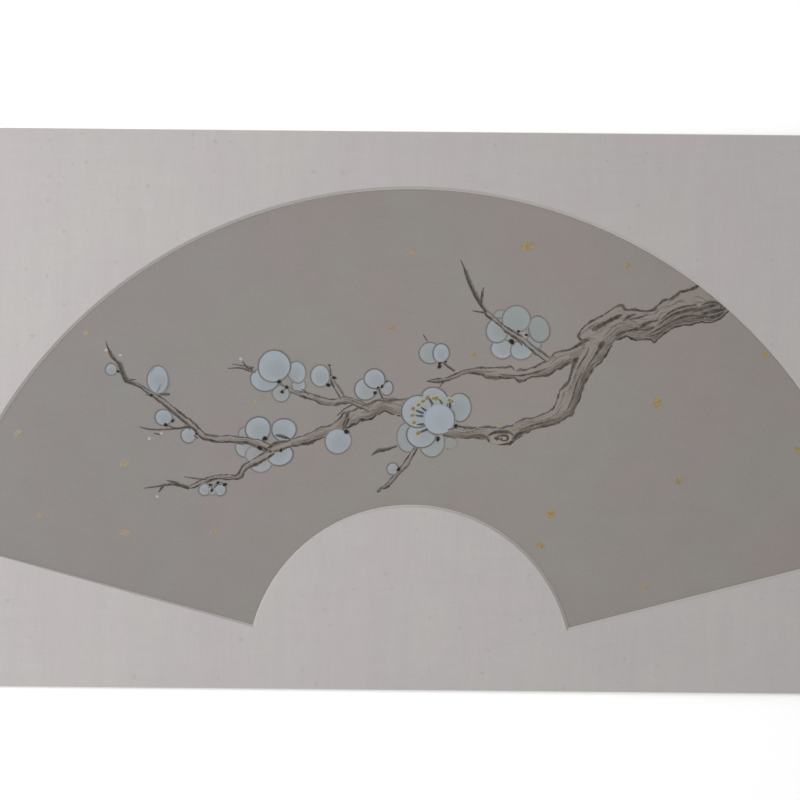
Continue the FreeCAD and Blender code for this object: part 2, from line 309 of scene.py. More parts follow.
def make_linen():
    """A plain-woven linen tape: two sets of threads with slubs."""
    material, nodes, shader = new_material("linen_tape", roughness=0.92, specular=0.15)
    shader.inputs["Sheen Weight"].default_value = 0.2
    place = object_place(nodes)
    threads = []
    for direction in ("X", "Y"):
        rib = nodes.add(
            "ShaderNodeTexWave",
            {"bands_direction": direction, "wave_type": "BANDS"},
            Vector=place,
            Scale=560.0,
            Distortion=1.2,
            Detail=1.0,
        )
        threads.append(rib.outputs[1])
    checks = nodes.math("GREATER_THAN", threads[0], threads[1])
    cloth = nodes.math("MAXIMUM", threads[0], threads[1])
    slub = nodes.noise(place, 220, 2, (1, 7, 1))
    tone = nodes.mix(nodes.times(checks, 0.25), srgb(214, 207, 192), srgb(201, 193, 176))
    tone = nodes.shade(tone, cloth, 0.14)
    tone = nodes.shade(tone, slub, 0.1)
    nodes.feed(shader.inputs["Base Color"], tone)
    add_bump(nodes, shader, nodes.plus(cloth, slub), 0.6, 0.00015)
    return material


def make_gold():
    """Beaten gold foil, creased, and rubbed thin so that the paper shows, most of all to the left."""
    material, nodes, shader = new_material("gold_foil", roughness=0.5, metallic=0.25)
    place = object_place(nodes)
    ground = nodes.add("ShaderNodeGroup", {"node_tree": LEAF_GROUND})
    crease = nodes.noise(place, 800, 4)
    gold = nodes.mix(nodes.ramp(crease, 0.3, 0.7), srgb(136, 112, 60), srgb(174, 147, 90))
    rubbed = nodes.ramp(nodes.along(place, 0), 0.06, -0.12, 0.1, 0.6, "LINEAR")
    streaks = nodes.ramp(nodes.noise(place, 420, 3, (1, 3.5, 1), 0.9), 0.44, 0.6)
    amount = nodes.math("MAXIMUM", nodes.times(streaks, 0.75), rubbed)
    nodes.feed(shader.inputs["Base Color"], nodes.mix(amount, gold, ground.outputs["Color"]))
    add_bump(nodes, shader, crease, 0.5, 0.00015)
    return material


MATERIALS = {
    "window_paper": make_window_paper(),
    "board_core": make_board_core(),
    "board_liner_paper": make_plain_paper("board_liner_paper", (202, 197, 188), (216, 212, 204), 0.25),
    "leaf_paper": make_leaf_material(),
    "lining_paper": make_plain_paper("lining_paper", (198, 189, 172), (216, 209, 195), 0.5),
    "hinge_paper": make_plain_paper("hinge_paper", (222, 216, 204), (240, 237, 229), 0.7),
    "linen_tape": make_linen(),
    "gold_foil": make_gold(),
    "white_pigment": make_paint_material("white_pigment", grain=0.06, roughness=0.8),
    "ink": make_paint_material("ink", grain=0.1, roughness=0.75),
}


# ---------------------------------------------------------------- points, curves and paint films

def cockle(x, y):
    """How far the damp-stretched leaf has risen off the board at a place, in millimetres."""
    broad = noise.noise(Vector((x / 85, y / 60, 3.1)))
    narrow = noise.noise(Vector((x / 34, y / 30, 7.7)))
    return COCKLE * min(1.0, max(0.0, 0.5 + 0.55 * broad + 0.25 * narrow))


def on_leaf(points):
    """Places on the painter's axes, as places on the card."""
    turn = np.array([
        [math.cos(PAINTING_TURN), -math.sin(PAINTING_TURN)],
        [math.sin(PAINTING_TURN), math.cos(PAINTING_TURN)],
    ])
    return (np.asarray(points, float) - PAINTER_CENTRE) @ turn.T + FAN_CENTRE


def spline(rows, step=0.5):
    """A smooth curve through rows of numbers, whose first two are a place, at steps along its length."""
    rows = np.asarray(rows, float)
    chords = np.linalg.norm(np.diff(rows[:, :2], axis=0), axis=1)
    knots = np.concatenate([[0], np.cumsum(np.maximum(chords, 1e-6))])
    slopes = np.gradient(rows, knots, axis=0) if len(rows) > 2 else np.repeat(
        (rows[1:] - rows[:1]) / knots[-1], 2, axis=0
    )
    count = max(4, int(knots[-1] / step) + 1)
    at = np.linspace(0, knots[-1], count)
    span = np.clip(np.searchsorted(knots, at, side="right") - 1, 0, len(rows) - 2)
    width = (knots[span + 1] - knots[span])[:, None]
    t = ((at - knots[span]) / width[:, 0])[:, None]
    return (
        (2 * t**3 - 3 * t**2 + 1) * rows[span]
        + (t**3 - 2 * t**2 + t) * width * slopes[span]
        + (3 * t**2 - 2 * t**3) * rows[span + 1]
        + (t**3 - t**2) * width * slopes[span + 1]
    )


def side_ways(path):
    """The unit vectors to the left of a path at each of its points."""
    along = np.gradient(path[:, :2], axis=0)
    along /= np.maximum(np.linalg.norm(along, axis=1, keepdims=True), 1e-9)
    return np.stack([-along[:, 1], along[:, 0]], axis=1)


def wobble(count, rng, every=6):
    """Smooth random values from -1 to 1 along a line of a given count of points."""
    knots = max(3, count // every + 2)
    values = [rng.uniform(-1, 1) for _ in range(knots)]
    return np.interp(np.linspace(0, knots - 1, count), range(knots), values)


class Film:
    """Paint gathered as one thin mesh: grids of points with a lift off the paper, a tint and a cover."""

    def __init__(self, name, slot):
        self.name = name
        self.slot = slot
        self.places = []
        self.lifts = []
        self.tints = []
        self.covers = []
        self.faces = []
        self.count = 0
        self.marks = 0

    def above(self, lift):
        """A lift a hair over the last mark's, so that no two marks share a level."""
        self.marks += 1
        return lift + MARK_STEP * (self.marks % MARK_CYCLE)

    def add_grid(self, places, lifts, tints, covers, closed=False):
        """Add a grid of points, rows by columns, joined round its columns if it is closed."""
        rows, columns = places.shape[:2]
        self.places.append(places.reshape(-1, 2))
        self.lifts.append(np.broadcast_to(lifts, (rows, columns)).reshape(-1))
        self.tints.append(np.broadcast_to(tints, (rows, columns, 3)).reshape(-1, 3))
        self.covers.append(np.broadcast_to(covers, (rows, columns)).reshape(-1))
        ends = columns if closed else columns - 1
        for i in range(rows - 1):
            for j in range(ends):
                a = self.count + i * columns + j
                b = self.count + i * columns + (j + 1) % columns
                self.faces.append((a, b, b + columns, a + columns))
        self.count += rows * columns

    def build(self):
        places = on_leaf(np.concatenate(self.places))
        lifts = np.concatenate(self.lifts)
        points = [
            (x * MM, y * MM, (LEAF_TOP + cockle(x, y) + lift) * MM)
            for (x, y), lift in zip(places, lifts)
        ]
        mesh = bpy.data.meshes.new(self.name)
        mesh.from_pydata(points, [], self.faces)
        tint = mesh.attributes.new("tint", "FLOAT_COLOR", "POINT")
        tints = np.concatenate(self.tints)
        tint.data.foreach_set("color", np.c_[tints, np.ones(len(tints))].astype(np.float32).ravel())
        cover = mesh.attributes.new("cover", "FLOAT", "POINT")
        cover.data.foreach_set("value", np.concatenate(self.covers).astype(np.float32))
        return finish_piece(self.name, mesh, self.slot, "backboard")


def finish_piece(name, mesh, slot, body=None):
    """Turn a mesh into a smooth-shaded piece with its slot's material, riding on a body if one is given."""
    mesh.validate()
    for polygon in mesh.polygons:
        polygon.use_smooth = True
    piece = bpy.data.objects.new(name, mesh)
    bpy.context.scene.collection.objects.link(piece)
    mesh.materials.append(MATERIALS[slot])
    if body:
        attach(piece, body)
    return piece


# ---------------------------------------------------------------- brush marks

# Heights of the paint over the leaf, in millimetres. A level is one branch or petal over another.
WASH_LIFT = 0.008
LEVEL_RISE = 0.02
BARK_RISE = 0.02
KNOB_LIFT = 0.034
LINE_RISE = 0.004
PETAL_LIFT = 0.04
PETAL_DOME = 0.012
SHOOT_LIFT = 0.05
DEW_LIFT = 0.06
DRY_STROKE_LIFT = 0.075
HEALED_LIFT = 0.1
ACCENT_LIFT = 0.12
SCAR_LIFT = 0.17
CREASE_LIFT = 0.2
STAMEN_LIFT = 0.22
STEM_LIFT = 0.24
THREAD_LIFT = 0.25
DROP_LIFT = 0.3
DROP_DOME = 0.03
THINNEST_STROKE = 0.08

CONTOUR_INK = srgb(33, 27, 25)
BARK = srgb(132, 122, 114)
BARK_SHADE = srgb(93, 84, 77)
OCHRE = srgb(148, 134, 106)
PETAL_WHITE = srgb(156, 163, 170)
PETAL_THIN = srgb(147, 155, 160)
PETAL_FRONT = srgb(157, 165, 173)
PETAL_COOL = srgb(137, 149, 148)
PETAL_LINE = srgb(74, 79, 83)
FILAMENT = srgb(38, 42, 46)
CALYX = srgb(24, 21, 21)
ANTHER = srgb(127, 112, 75)
ANTHER_GLOW = srgb(160, 154, 134)
DEW = srgb(178, 180, 178)


def blend_colours(first, second, share):
    """Rows of colour between two colours, at an array of shares."""
    share = np.asarray(share, float)[..., None]
    return np.asarray(first[:3]) * (1 - share) + np.asarray(second[:3]) * share


def smoothstep(value, low, high):
    t = np.clip((np.asarray(value, float) - low) / (high - low), 0, 1)
    return t * t * (3 - 2 * t)


def laid_over(colour, strength, under, under_cover):
    """The colour and cover of paint of a strength from 0 to 1, laid over other paint or bare paper."""
    cover = 1 - (1 - under_cover) * (1 - strength)
    share = strength / np.maximum(cover, 1e-6)
    tint = under * (1 - share)[..., None] + np.asarray(colour[:3]) * share[..., None]
    return tint, cover


def stroke(film, rows, colour, cover, lift, dryness, rng=None, bare=0):
    """A brush stroke through rows of (x, y, width), with soft sides and an uneven load of paint.

    A row may go on with the colour and cover of the paint under it. bare is 1 or -1 where the stroke has
    bare paper to its left or right instead."""
    rng = rng or random.Random(len(film.faces))
    path = spline(rows, 0.35)
    count = len(path)
    uneven = 1 + 0.1 * wobble(count, rng, 9) + 0.6 * dryness * wobble(count, rng, 3)
    width = np.maximum(path[:, 2], THINNEST_STROKE) * uneven
    normal = side_ways(path)
    path[:, :2] += normal * (0.3 * dryness * wobble(count, rng, 4) * np.minimum(path[:, 2], 1))[:, None]
    across = np.array([-0.7, -0.42, 0.0, 0.42, 0.7])
    strength = np.array([0.0, 0.9, 1.0, 0.9, 0.0])
    places = path[:, None, :2] + normal[:, None, :] * (width[:, None] * across)[..., None]
    load = np.clip(1 - dryness * (0.5 + 0.5 * wobble(count, rng, 4)), 0, 1)
    strengths = cover * load[:, None] * strength
    under = np.zeros((count, 5, 3))
    under_cover = np.zeros((count, 5))
    if path.shape[1] > 3:
        under[:] = path[:, None, 3:6]
        under_cover[:] = path[:, None, 6]
        if bare > 0:
            under_cover[:, 3:] = 0
        if bare < 0:
            under_cover[:, :2] = 0
    tints, covers = laid_over(colour, strengths, under, under_cover)
    film.add_grid(places, film.above(lift), tints, covers)


def over(rows, colour, cover):
    """A stroke's rows of (x, y, width), with the colour and cover of the paint that it goes over."""
    return [(*row, *colour[:3], cover) for row in rows]


def ring_line(film, outline, width, colour, cover, lift, rng):
    """A thin closed contour round an outline, fainter in places."""
    count = len(outline)
    away = outline - outline.mean(axis=0)
    away /= np.linalg.norm(away, axis=1, keepdims=True)
    swing = rng.uniform(0, 2 * math.pi)
    angle = np.linspace(0, 2 * math.pi, count, endpoint=False)
    load = 1 - 0.3 * (0.5 + 0.5 * np.sin(angle + swing)) * (0.6 + 0.4 * np.sin(3 * angle + 2 * swing))
    across = np.array([-0.6, -0.3, 0.0, 0.3, 0.6])
    strength = np.array([0.0, 0.85, 1.0, 0.85, 0.0])
    places = outline[None] + away[None] * (width * across)[:, None, None]
    film.add_grid(places, lift, np.asarray(colour[:3]), strength[:, None] * cover * load, closed=True)


def rounded(radius, ratio, turn, segments, bulges, rng):
    """The angles and points of an ellipse turned by some degrees, with two-fold and three-fold bulges."""
    angle = np.linspace(0, 2 * math.pi, segments, endpoint=False)
    two, three = bulges
    uneven = 1 + two * np.sin(2 * angle + rng.uniform(0, 6)) + three * np.sin(3 * angle + rng.uniform(0, 6))
    shape = np.stack([radius * uneven * np.cos(angle), radius * ratio * uneven * np.sin(angle)], axis=1)
    cosine, sine = math.cos(math.radians(turn)), math.sin(math.radians(turn))
    return angle, shape @ np.array([[cosine, sine], [-sine, cosine]])


def petal(
    film, lines, x, y, radius, ratio=1.0, turn=0.0, level=0, density=1.0, line=1.0,
    heart=None, cool=0.0, flat=0.0,
):
    """One round petal: thin in the middle, whiter at its rim, with a fine grey contour just outside it."""
    rng = random.Random(int(1000 + 37 * x + 91 * y))
    angle, shape = rounded(radius, ratio, turn, 44, (0.018, 0.014), rng)
    centre = np.array([x, y])
    shares = np.array([0.0, 0.15, 0.3, 0.45, 0.58, 0.7, 0.8, 0.88, 0.94, 0.98, 1.0])
    places = centre + shares[:, None, None] * shape[None]
    toward = np.array([0.6, -0.8]) if heart is None else np.array(heart, float) - centre
    toward /= max(np.linalg.norm(toward), 1e-6)
    facing = (places - centre) @ toward / radius
    pool = np.linalg.norm(places - centre - 0.3 * radius * toward, axis=2) / radius
    rim = smoothstep(pool, 0.15, 1.15)
    if heart is not None:
        rim = rim * (1 - 0.7 * smoothstep(facing, 0.1, 1.0))
    ripple = 0.1 * np.sin(3 * angle + rng.uniform(0, 6)) * shares[:, None]
    rim = np.clip(rim + ripple + 0.08 * rng.uniform(-1, 1), 0, 1)
    tints = blend_colours(PETAL_THIN, PETAL_WHITE, rim)
    tints = tints * (1 - cool) + np.asarray(PETAL_COOL[:3]) * cool
    tints = tints * (1 - flat) + np.asarray(PETAL_FRONT[:3]) * flat
    edge = np.array([1.0] * 9 + [0.85, 0.0])[:, None]
    covers = density * (0.86 + 0.12 * rim) * edge
    lift = film.above(PETAL_LIFT + LEVEL_RISE * level)
    dome = PETAL_DOME * (1 - shares**2)[:, None]
    film.add_grid(places, lift + dome, tints, covers, closed=True)
    if line:
        outline = centre + shape * (1 + 0.22 / radius)
        ring_line(lines, outline, 0.9, PETAL_LINE, 0.85 * line, lift + LINE_RISE, rng)


def petals(film, lines, heart, rows):
    """Petals round a flower's heart, each from x to line as petal takes them, then its cool and flat."""
    for row in rows:
        petal(film, lines, *row[:8], heart, *row[8:])


def dot(film, x, y, radius, colour, ratio=1.0, turn=0.0, cover=0.99, lift=DROP_LIFT, under=None):
    """A small drop of thick paint, over bare paper or over paint of another colour."""
    rng = random.Random(int(500 + 53 * x + 71 * y))
    shape = rounded(radius, ratio, turn, 18, (0.1, 0.07), rng)[1]
    shares = np.array([0.0, 0.4, 0.75, 1.0, 1.2])
    places = np.array([x, y]) + shares[:, None, None] * shape[None]
    dome = DROP_DOME * np.clip(1 - shares**2, 0, 1)[:, None]
    strengths = cover * np.array([1, 1, 1, 0.8, 0.0])[:, None] * np.ones(len(shape))
    below = np.zeros((*strengths.shape, 3)) + np.asarray((under or colour)[:3])
    tints, covers = laid_over(colour, strengths, below, np.full(strengths.shape, 0.97 if under else 0.0))
    film.add_grid(places, film.above(lift) + dome, tints, covers, closed=True)


def calyx_drops(ink, drops, ratio=0.75):
    """The darkest drops, at the foot of a bud or blossom: each (x, y, size, turn)."""
    for x, y, size, turn in drops:
        dot(ink, x, y, size, CALYX, ratio, turn)


def contour(points, step=0.5):
    """A branch's side through its points: part curve and part straight runs, so that it stays angular."""
    smooth = spline(points, step)
    straight = np.asarray(points, float)
    chords = np.linalg.norm(np.diff(straight, axis=0), axis=1)
    knots = np.concatenate([[0], np.cumsum(chords)])
    at = np.linspace(0, knots[-1], len(smooth))
    runs = np.stack([np.interp(at, knots, straight[:, k]) for k in (0, 1)], axis=1)
    return 0.2 * smooth + 0.8 * runs


# A limb's sides are ragged by a share of its width, up to a most. Hatching strokes are counted by area.
RAGGED_SHARE = 0.07
RAGGED_MOST = 0.42
HATCH_AREA = 16
HATCH_SHORTEST = 5
HATCH_LONGEST = 18
CONTOUR_SWELL = (0.45, 0.85, 1.0, 1.0, 0.75, 0.4)
CONTOUR_LOADS = (0.7, 0.85, 1.0, 1.15, 1.5)


def limb(film, upper, lower, seed, tone=1.0, strokes=1.0, level=0, drawn=((0.0, 1.0), (0.0, 1.0))):
    """A length of branch between its two contours: a wash, long dry bark strokes, and contour lines.

    drawn holds the shares of the upper and the lower side between which it has a contour line."""
    rng = random.Random(seed)
    sides = [contour(upper), contour(lower)]
    count = max(len(side) for side in sides)
    at = np.linspace(0, 1, count)
    a, b = (
        np.stack([np.interp(at, np.linspace(0, 1, len(side)), side[:, k]) for k in (0, 1)], axis=1)
        for side in sides
    )
    away = a - b
    span = np.linalg.norm(away, axis=1)
    away /= np.maximum(span, 1e-6)[:, None]
    ragged = np.minimum(RAGGED_MOST, RAGGED_SHARE * span)
    a = a + away * (ragged * (wobble(count, rng, 4) + 0.6 * wobble(count, rng, 9)))[:, None]
    b = b - away * (ragged * (wobble(count, rng, 3) + 0.6 * wobble(count, rng, 8)))[:, None]
    span = span.mean()
    across = np.linspace(0, 1, 11)
    places = a[:, None] * (1 - across)[None, :, None] + b[:, None] * across[None, :, None]
    load = 0.5 + 0.5 * wobble(count, rng, 9)[:, None]
    dark = smoothstep(across, 0.45, 1.0)
    tints = blend_colours(BARK, BARK_SHADE, np.clip(0.8 * dark[None] * (0.45 + load), 0, 1))
    warm = (0.5 + 0.5 * wobble(count, rng, 14))[:, None] * np.sin(math.pi * across)[None]
    tints = tints * (1 - 0.3 * warm[..., None]) + np.asarray(OCHRE[:3]) * 0.3 * warm[..., None]
    edge = np.array([0.5] + [1.0] * 9 + [0.6])
    covers = np.clip(tone * (0.38 + 0.27 * load + 0.35 * dark[None]) * edge, 0, 0.98)
    base = WASH_LIFT + LEVEL_RISE * level
    film.add_grid(places, film.above(base), tints, covers)
    base += BARK_RISE

    def row(pick, share, width):
        """A stroke's row at a point along the limb and a share across it, with the wash that lies there."""
        x, y = a[pick] * (1 - share) + b[pick] * share
        column = int(np.clip(round(share * 10), 1, 9))
        return (x, y, width, *tints[pick, column], covers[pick, column])

    length = np.linalg.norm(np.diff(a, axis=0), axis=1).sum()
    for _ in range(int(strokes * length * span / HATCH_AREA)):
        first = int(rng.uniform(0, 0.92) * (count - 1))
        reach = rng.uniform(HATCH_SHORTEST, HATCH_LONGEST) / length
        last = min(count - 1, first + int(reach * (count - 1)))
        where = rng.random() ** 0.5
        slant = rng.uniform(-0.12, 0.12)
        width = rng.uniform(0.35, 0.9)
        shade = blend_colours(BARK_SHADE, CONTOUR_INK, rng.uniform(0.1, 1.0))
        weight = rng.uniform(0.35, 0.85)
        if last - first < 4:
            continue
        rows = []
        for order, pick in enumerate(np.linspace(first, last, 6).astype(int)):
            drift = np.clip(where + slant * (order / 5 - 0.5) + rng.uniform(-0.012, 0.012), 0.06, 0.94)
            rows.append(row(pick, drift, width * max(0.2, math.sin(math.pi * (order + 0.35) / 5.7))))
        stroke(film, rows, shade, weight, base, 0.55, rng)
    for share, bare, weight, (opening, ending) in ((0.0, 1, 0.95, drawn[0]), (1.0, -1, 1.25, drawn[1])):
        start = int(opening * count)
        last = int(ending * (count - 1))
        while start < last - 4:
            stop = min(last, start + int(rng.uniform(9, 30)))
            weight_here = weight * rng.choice(CONTOUR_LOADS) * min(1.0, 0.5 + span / 8)
            picks = np.linspace(start, stop, len(CONTOUR_SWELL)).astype(int)
            rows = [row(p, share, weight_here * s) for p, s in zip(picks, CONTOUR_SWELL)]
            stroke(film, rows, CONTOUR_INK, rng.uniform(0.8, 0.98), base + LINE_RISE, 0.36, rng, bare)
            start = stop - int(rng.uniform(2, 6)) if rng.random() < 0.85 else stop + 2
            if stop == last:
                break


def branch(film, rows, seed, **style):
    """A branch through rows of (x, y, width), as a limb between the two sides that it makes."""
    rng = random.Random(seed)
    path = spline(rows, 2.2)
    normal = side_ways(path)
    half = path[:, 2:3] / 2
    count = len(path)
    rough = 0.14 * path[:, 2:3]
    upper = path[:, :2] + normal * (half + rough * wobble(count, rng, 1)[:, None])
    lower = path[:, :2] - normal * (half + rough * wobble(count, rng, 1)[:, None])
    if path[-1, 0] < path[0, 0]:
        upper, lower = lower, upper
    limb(film, upper, lower, seed, **style)


def twig(film, rows, seed):
    """A thin shoot, as one loaded stroke with a drier one beside it."""
    rng = random.Random(seed)
    cover = 0.85
    stroke(film, rows, blend_colours(BARK_SHADE, CONTOUR_INK, 0.6), cover, SHOOT_LIFT, 0.3, rng)
    beside = [(x - 0.1 * width, y - 0.25 * width, 0.5 * width) for x, y, width in rows]
    stroke(film, over(beside, BARK_SHADE, 0.8), CONTOUR_INK, cover, DRY_STROKE_LIFT, 0.4, rng)


# ---------------------------------------------------------------- the painted plum branch

def paint_trunk(ink):
    """The old trunk from the right, its hump, and the two branches that leave it."""
    limb(
        ink,
        [(175.2, 57), (168, 63), (159.5, 69.8), (155, 67), (149, 65.9), (145, 62.5), (138.8, 60.8),
         (134.4, 55.8), (127.6, 55.2), (124.2, 56), (118.6, 55.8), (116.3, 58.6), (110, 55.2), (105, 52.4),
         (98.9, 49), (93.8, 43.9), (92.9, 40)],
        [(176, 55.2), (171.3, 51.7), (166.5, 49.2), (160.8, 49.5), (154, 47.7), (146, 46.2), (141, 43.9),
         (134.4, 38.3), (132, 40), (125.4, 39.4), (118.6, 41.4), (112.9, 38.9), (110, 33.8), (105, 29),
         (99, 30), (96, 33), (93.5, 37)],
        seed=11, tone=1.0, strokes=1.1, drawn=((0.0, 1.0), (0.0, 0.71)),
    )
    limb(
        ink,
        [(98, 39.8), (91.6, 36), (87.6, 33.9), (80, 32.3), (75.6, 27.6), (68.6, 24.4), (62.3, 22.5),
         (57.8, 22.5), (55.3, 24.4), (49.6, 23.8), (43.3, 24.1), (36.9, 23.8), (29.3, 22.5), (21, 18.7),
         (13.5, 17.4), (9, 16.8)],
        [(101, 33), (94.6, 30), (90, 28.2), (78.8, 21.9), (75, 19.4), (68.6, 19.4), (63.5, 17.5),
         (60.4, 15.8), (57.8, 18.1), (52.2, 18.4), (44.5, 18.7), (41.4, 18.4), (40.7, 20), (35, 21.3),
         (29.3, 20.6), (23.6, 18.1), (16, 16.6), (9, 16.4)],
        seed=12, tone=1.0, strokes=1.2, drawn=((0.0, 1.0), (0.12, 1.0)),
    )
    limb(
        ink,
        [(97, 37), (92.5, 32), (89.5, 23.8), (87.7, 18.1), (87, 15.6), (83.2, 12.4), (82.6, 9.9),
         (80.6, 4.1), (78.1, 0.3), (72.4, -2.2), (66.1, -4.1), (61, -5.4), (55.9, -7.9), (49.6, -9.5),
         (43.3, -8.8), (33.1, -9.2), (24, -8.5)],
        [(111.5, 36.5), (105.1, 27), (101.1, 23.6), (97.8, 19.2), (94.9, 12.9), (93.5, 7.9), (91, 2.3),
         (88.7, -1.7), (82.5, -5.6), (76.2, -7.9), (68.6, -9.8), (62.3, -12.3), (57.8, -16.1), (54, -18.4),
         (49, -18.7), (43.9, -16.8), (42.6, -14.4), (35.7, -14.2), (26.2, -14.8), (18, -13.2)],
        seed=13, tone=1.1, strokes=1.7, level=2, drawn=((0.13, 1.0), (0.0, 1.0)),
    )


def accent(ink, rows, colour, lift=ACCENT_LIFT, cover=0.92):
    """A heavy dark stroke over the bark's wash."""
    stroke(ink, over(rows, BARK, 0.75), colour, cover, lift, 0.35)


def paint_trunk_details(ink):
    """The hollow in the hump, the cut knot on the low branch, and the heavier bark lines."""
    hollow = srgb(34, 27, 26)
    brown = srgb(36, 30, 27)
    deep = srgb(34, 32, 28)
    accent(
        ink,
        [(100.2, 44.7, 0.8), (101.6, 45.4, 2.3), (104.6, 47, 2.3), (108.6, 49.2, 1.9), (112.6, 51.2, 1.8),
         (115.6, 52.6, 1.5), (117, 53.2, 0.4)],
        hollow,
    )
    accent(
        ink,
        [(107, 38.4, 0.8), (105.6, 36.6, 2.8), (104.4, 34.6, 1.8), (101, 29.4, 0.9), (97.5, 24.2, 0.4)],
        hollow,
    )
    accent(
        ink,
        [(113, 41.4, 0.6), (118.1, 43.7, 1.3), (122, 44.7, 1.0), (126, 45.2, 1.8), (129, 45, 0.5)],
        brown,
    )
    for rows in (
        [(136.8, 47.2, 0.5), (141, 50.8, 1.0), (144.5, 53, 1.5), (150.8, 55, 1.7), (157, 56.3, 1.6),
         (163.6, 57, 0.6)],
        [(132, 42.5, 0.5), (138.2, 45.8, 1.1), (145.7, 50, 1.3), (153.3, 52.5, 1.4), (162, 52.4, 0.8)],
        [(138.6, 50.4, 0.4), (143.4, 54.6, 0.8), (150, 57.4, 0.9), (158, 58.6, 0.5)],
        [(156, 51, 0.5), (162.4, 52.4, 1.6), (165.2, 56, 1.7), (168.6, 60.4, 0.9)],
        [(160, 54.8, 0.6), (166, 54.4, 2.0), (171, 56, 1.8), (174.6, 57, 0.8)],
        [(164, 50.8, 0.6), (168.4, 53.2, 1.6), (171.6, 57.6, 1.2), (172, 59.8, 0.6)],
        [(156, 55, 0.4), (161, 56.4, 2.2), (166, 58, 1.8), (170, 58.6, 0.6)],
        [(158, 51.4, 0.4), (164, 54.4, 1.8), (169.4, 55.4, 2.2), (173.6, 56.2, 0.9)],
        [(161, 53, 0.5), (166, 51.8, 1.9), (171, 53.4, 1.4), (173, 55, 0.6)],
        [(160.6, 58.4, 0.4), (165, 60, 1.3), (169, 59.8, 1.2), (172.6, 57.8, 0.6)],
    ):
        accent(ink, rows, deep)
    for rows in (
        [(126, 45.2, 0.8), (128.4, 47.2, 1.8), (131.6, 49, 1.5), (136.6, 50.2, 0.6)],
        [(128.6, 44.4, 0.6), (131.6, 45.2, 1.6), (134.4, 46.2, 0.8)],
        [(132.6, 41.4, 0.4), (137, 42.8, 0.9), (141, 45, 0.5)],
        [(120.5, 50.6, 0.4), (126, 51.6, 0.8), (131, 53.2, 0.4)],
        [(98.6, 35, 0.3), (97, 31, 0.8), (94.6, 27.4, 0.8), (92.2, 23, 0.4)],
        [(94.5, 21, 0.4), (91.5, 14.5, 0.9), (89.5, 7, 0.8), (86.5, 0.5, 0.4)],
        [(96, 17.6, 0.4), (93.6, 11, 0.8), (91, 3.6, 0.6), (88, -1.4, 0.4)],
        [(84, -3.5, 0.4), (76, -5.8, 0.9), (67, -8, 0.8), (60, -10.5, 0.4)],
        [(74.8, 23.2, 0.4), (68, 21, 0.9), (60, 19.6, 0.8), (50, 20.2, 0.4)],
        [(117.4, 49.6, 0.4), (120, 51.8, 1.4), (124, 53.6, 0.6)],
        [(88, 33.7, 0.7), (91.4, 35.6, 1.6), (95.6, 38.2, 1.5), (98.6, 39.6, 0.6)],
        [(93.4, 43.6, 0.6), (92.7, 41.6, 1.3), (94.2, 39.4, 1.1), (97.6, 39.8, 0.6)],
        [(92.8, 29.6, 0.6), (90.8, 27.6, 2.6), (89.8, 24.6, 1.6), (88.6, 19.6, 0.6)],
        [(88.4, 19.6, 0.5), (87.2, 16, 1.5), (84.6, 13.4, 1.2), (82.8, 11.6, 0.7)],
        [(61.8, 17, 0.5), (60.2, 16.4, 1.6), (58, 17.8, 0.6)],
        [(49.4, 18.2, 0.4), (45, 18.6, 1.3), (40.8, 18.6, 1.0)],
        [(62, -11.6, 0.5), (59, -13, 1.8), (56, -15.6, 0.8)],
        [(101, 24, 0.5), (99.2, 21, 1.5), (97.4, 18.6, 0.6)],
        [(96.4, 17, 0.4), (95, 13.4, 1.6), (93.8, 9.4, 0.5)],
        [(119.6, 55.6, 0.6), (123.6, 56, 1.5), (127.6, 55.2, 0.7)],
        [(131, 55.2, 0.6), (134.4, 56, 1.7), (136.6, 58.6, 0.8)],
        [(137, 58.6, 0.5), (139.6, 61, 1.5), (143, 61.8, 0.6)],
        [(143, 61.4, 0.5), (146.6, 63.8, 1.5), (149.4, 66, 0.8)],
        [(153.6, 66.6, 0.5), (156.4, 67.8, 1.7), (159.5, 69.6, 1.0)],
        [(114, 57.4, 0.4), (116.4, 58.6, 1.3), (118.8, 56, 1.2), (121, 55.8, 0.5)],
    ):
        accent(ink, rows, brown)
    dot(ink, 78.1, 29.4, 1.9, ANTHER, 0.45, 25, 0.8, KNOB_LIFT, BARK)
    moss = srgb(96, 96, 86)
    for rows in (
        [(87.6, 30.6, 0.5), (90.6, 31.6, 1.9), (93.6, 33.2, 2.1), (96.6, 35.6, 0.7)],
        [(88.6, 29.2, 0.4), (91.6, 30.4, 1.4), (94.4, 31.8, 0.6)],
        [(108, 37, 0.5), (110.6, 39.4, 1.7), (113.2, 41.2, 0.6)],
        [(117.6, 42.8, 0.5), (122, 42.2, 1.7), (126.4, 41.6, 1.5), (130, 41.2, 0.6)],
        [(116.8, 50.6, 0.4), (120.2, 52.2, 1.5), (124.6, 53.4, 0.6)],
        [(159.6, 54.4, 0.5), (164.6, 56.2, 2.1), (169, 58, 1.8), (172, 58.8, 0.6)],
    ):
        accent(ink, rows, moss, ACCENT_LIFT - 0.024, 0.62)
    paint_knot(ink, brown)


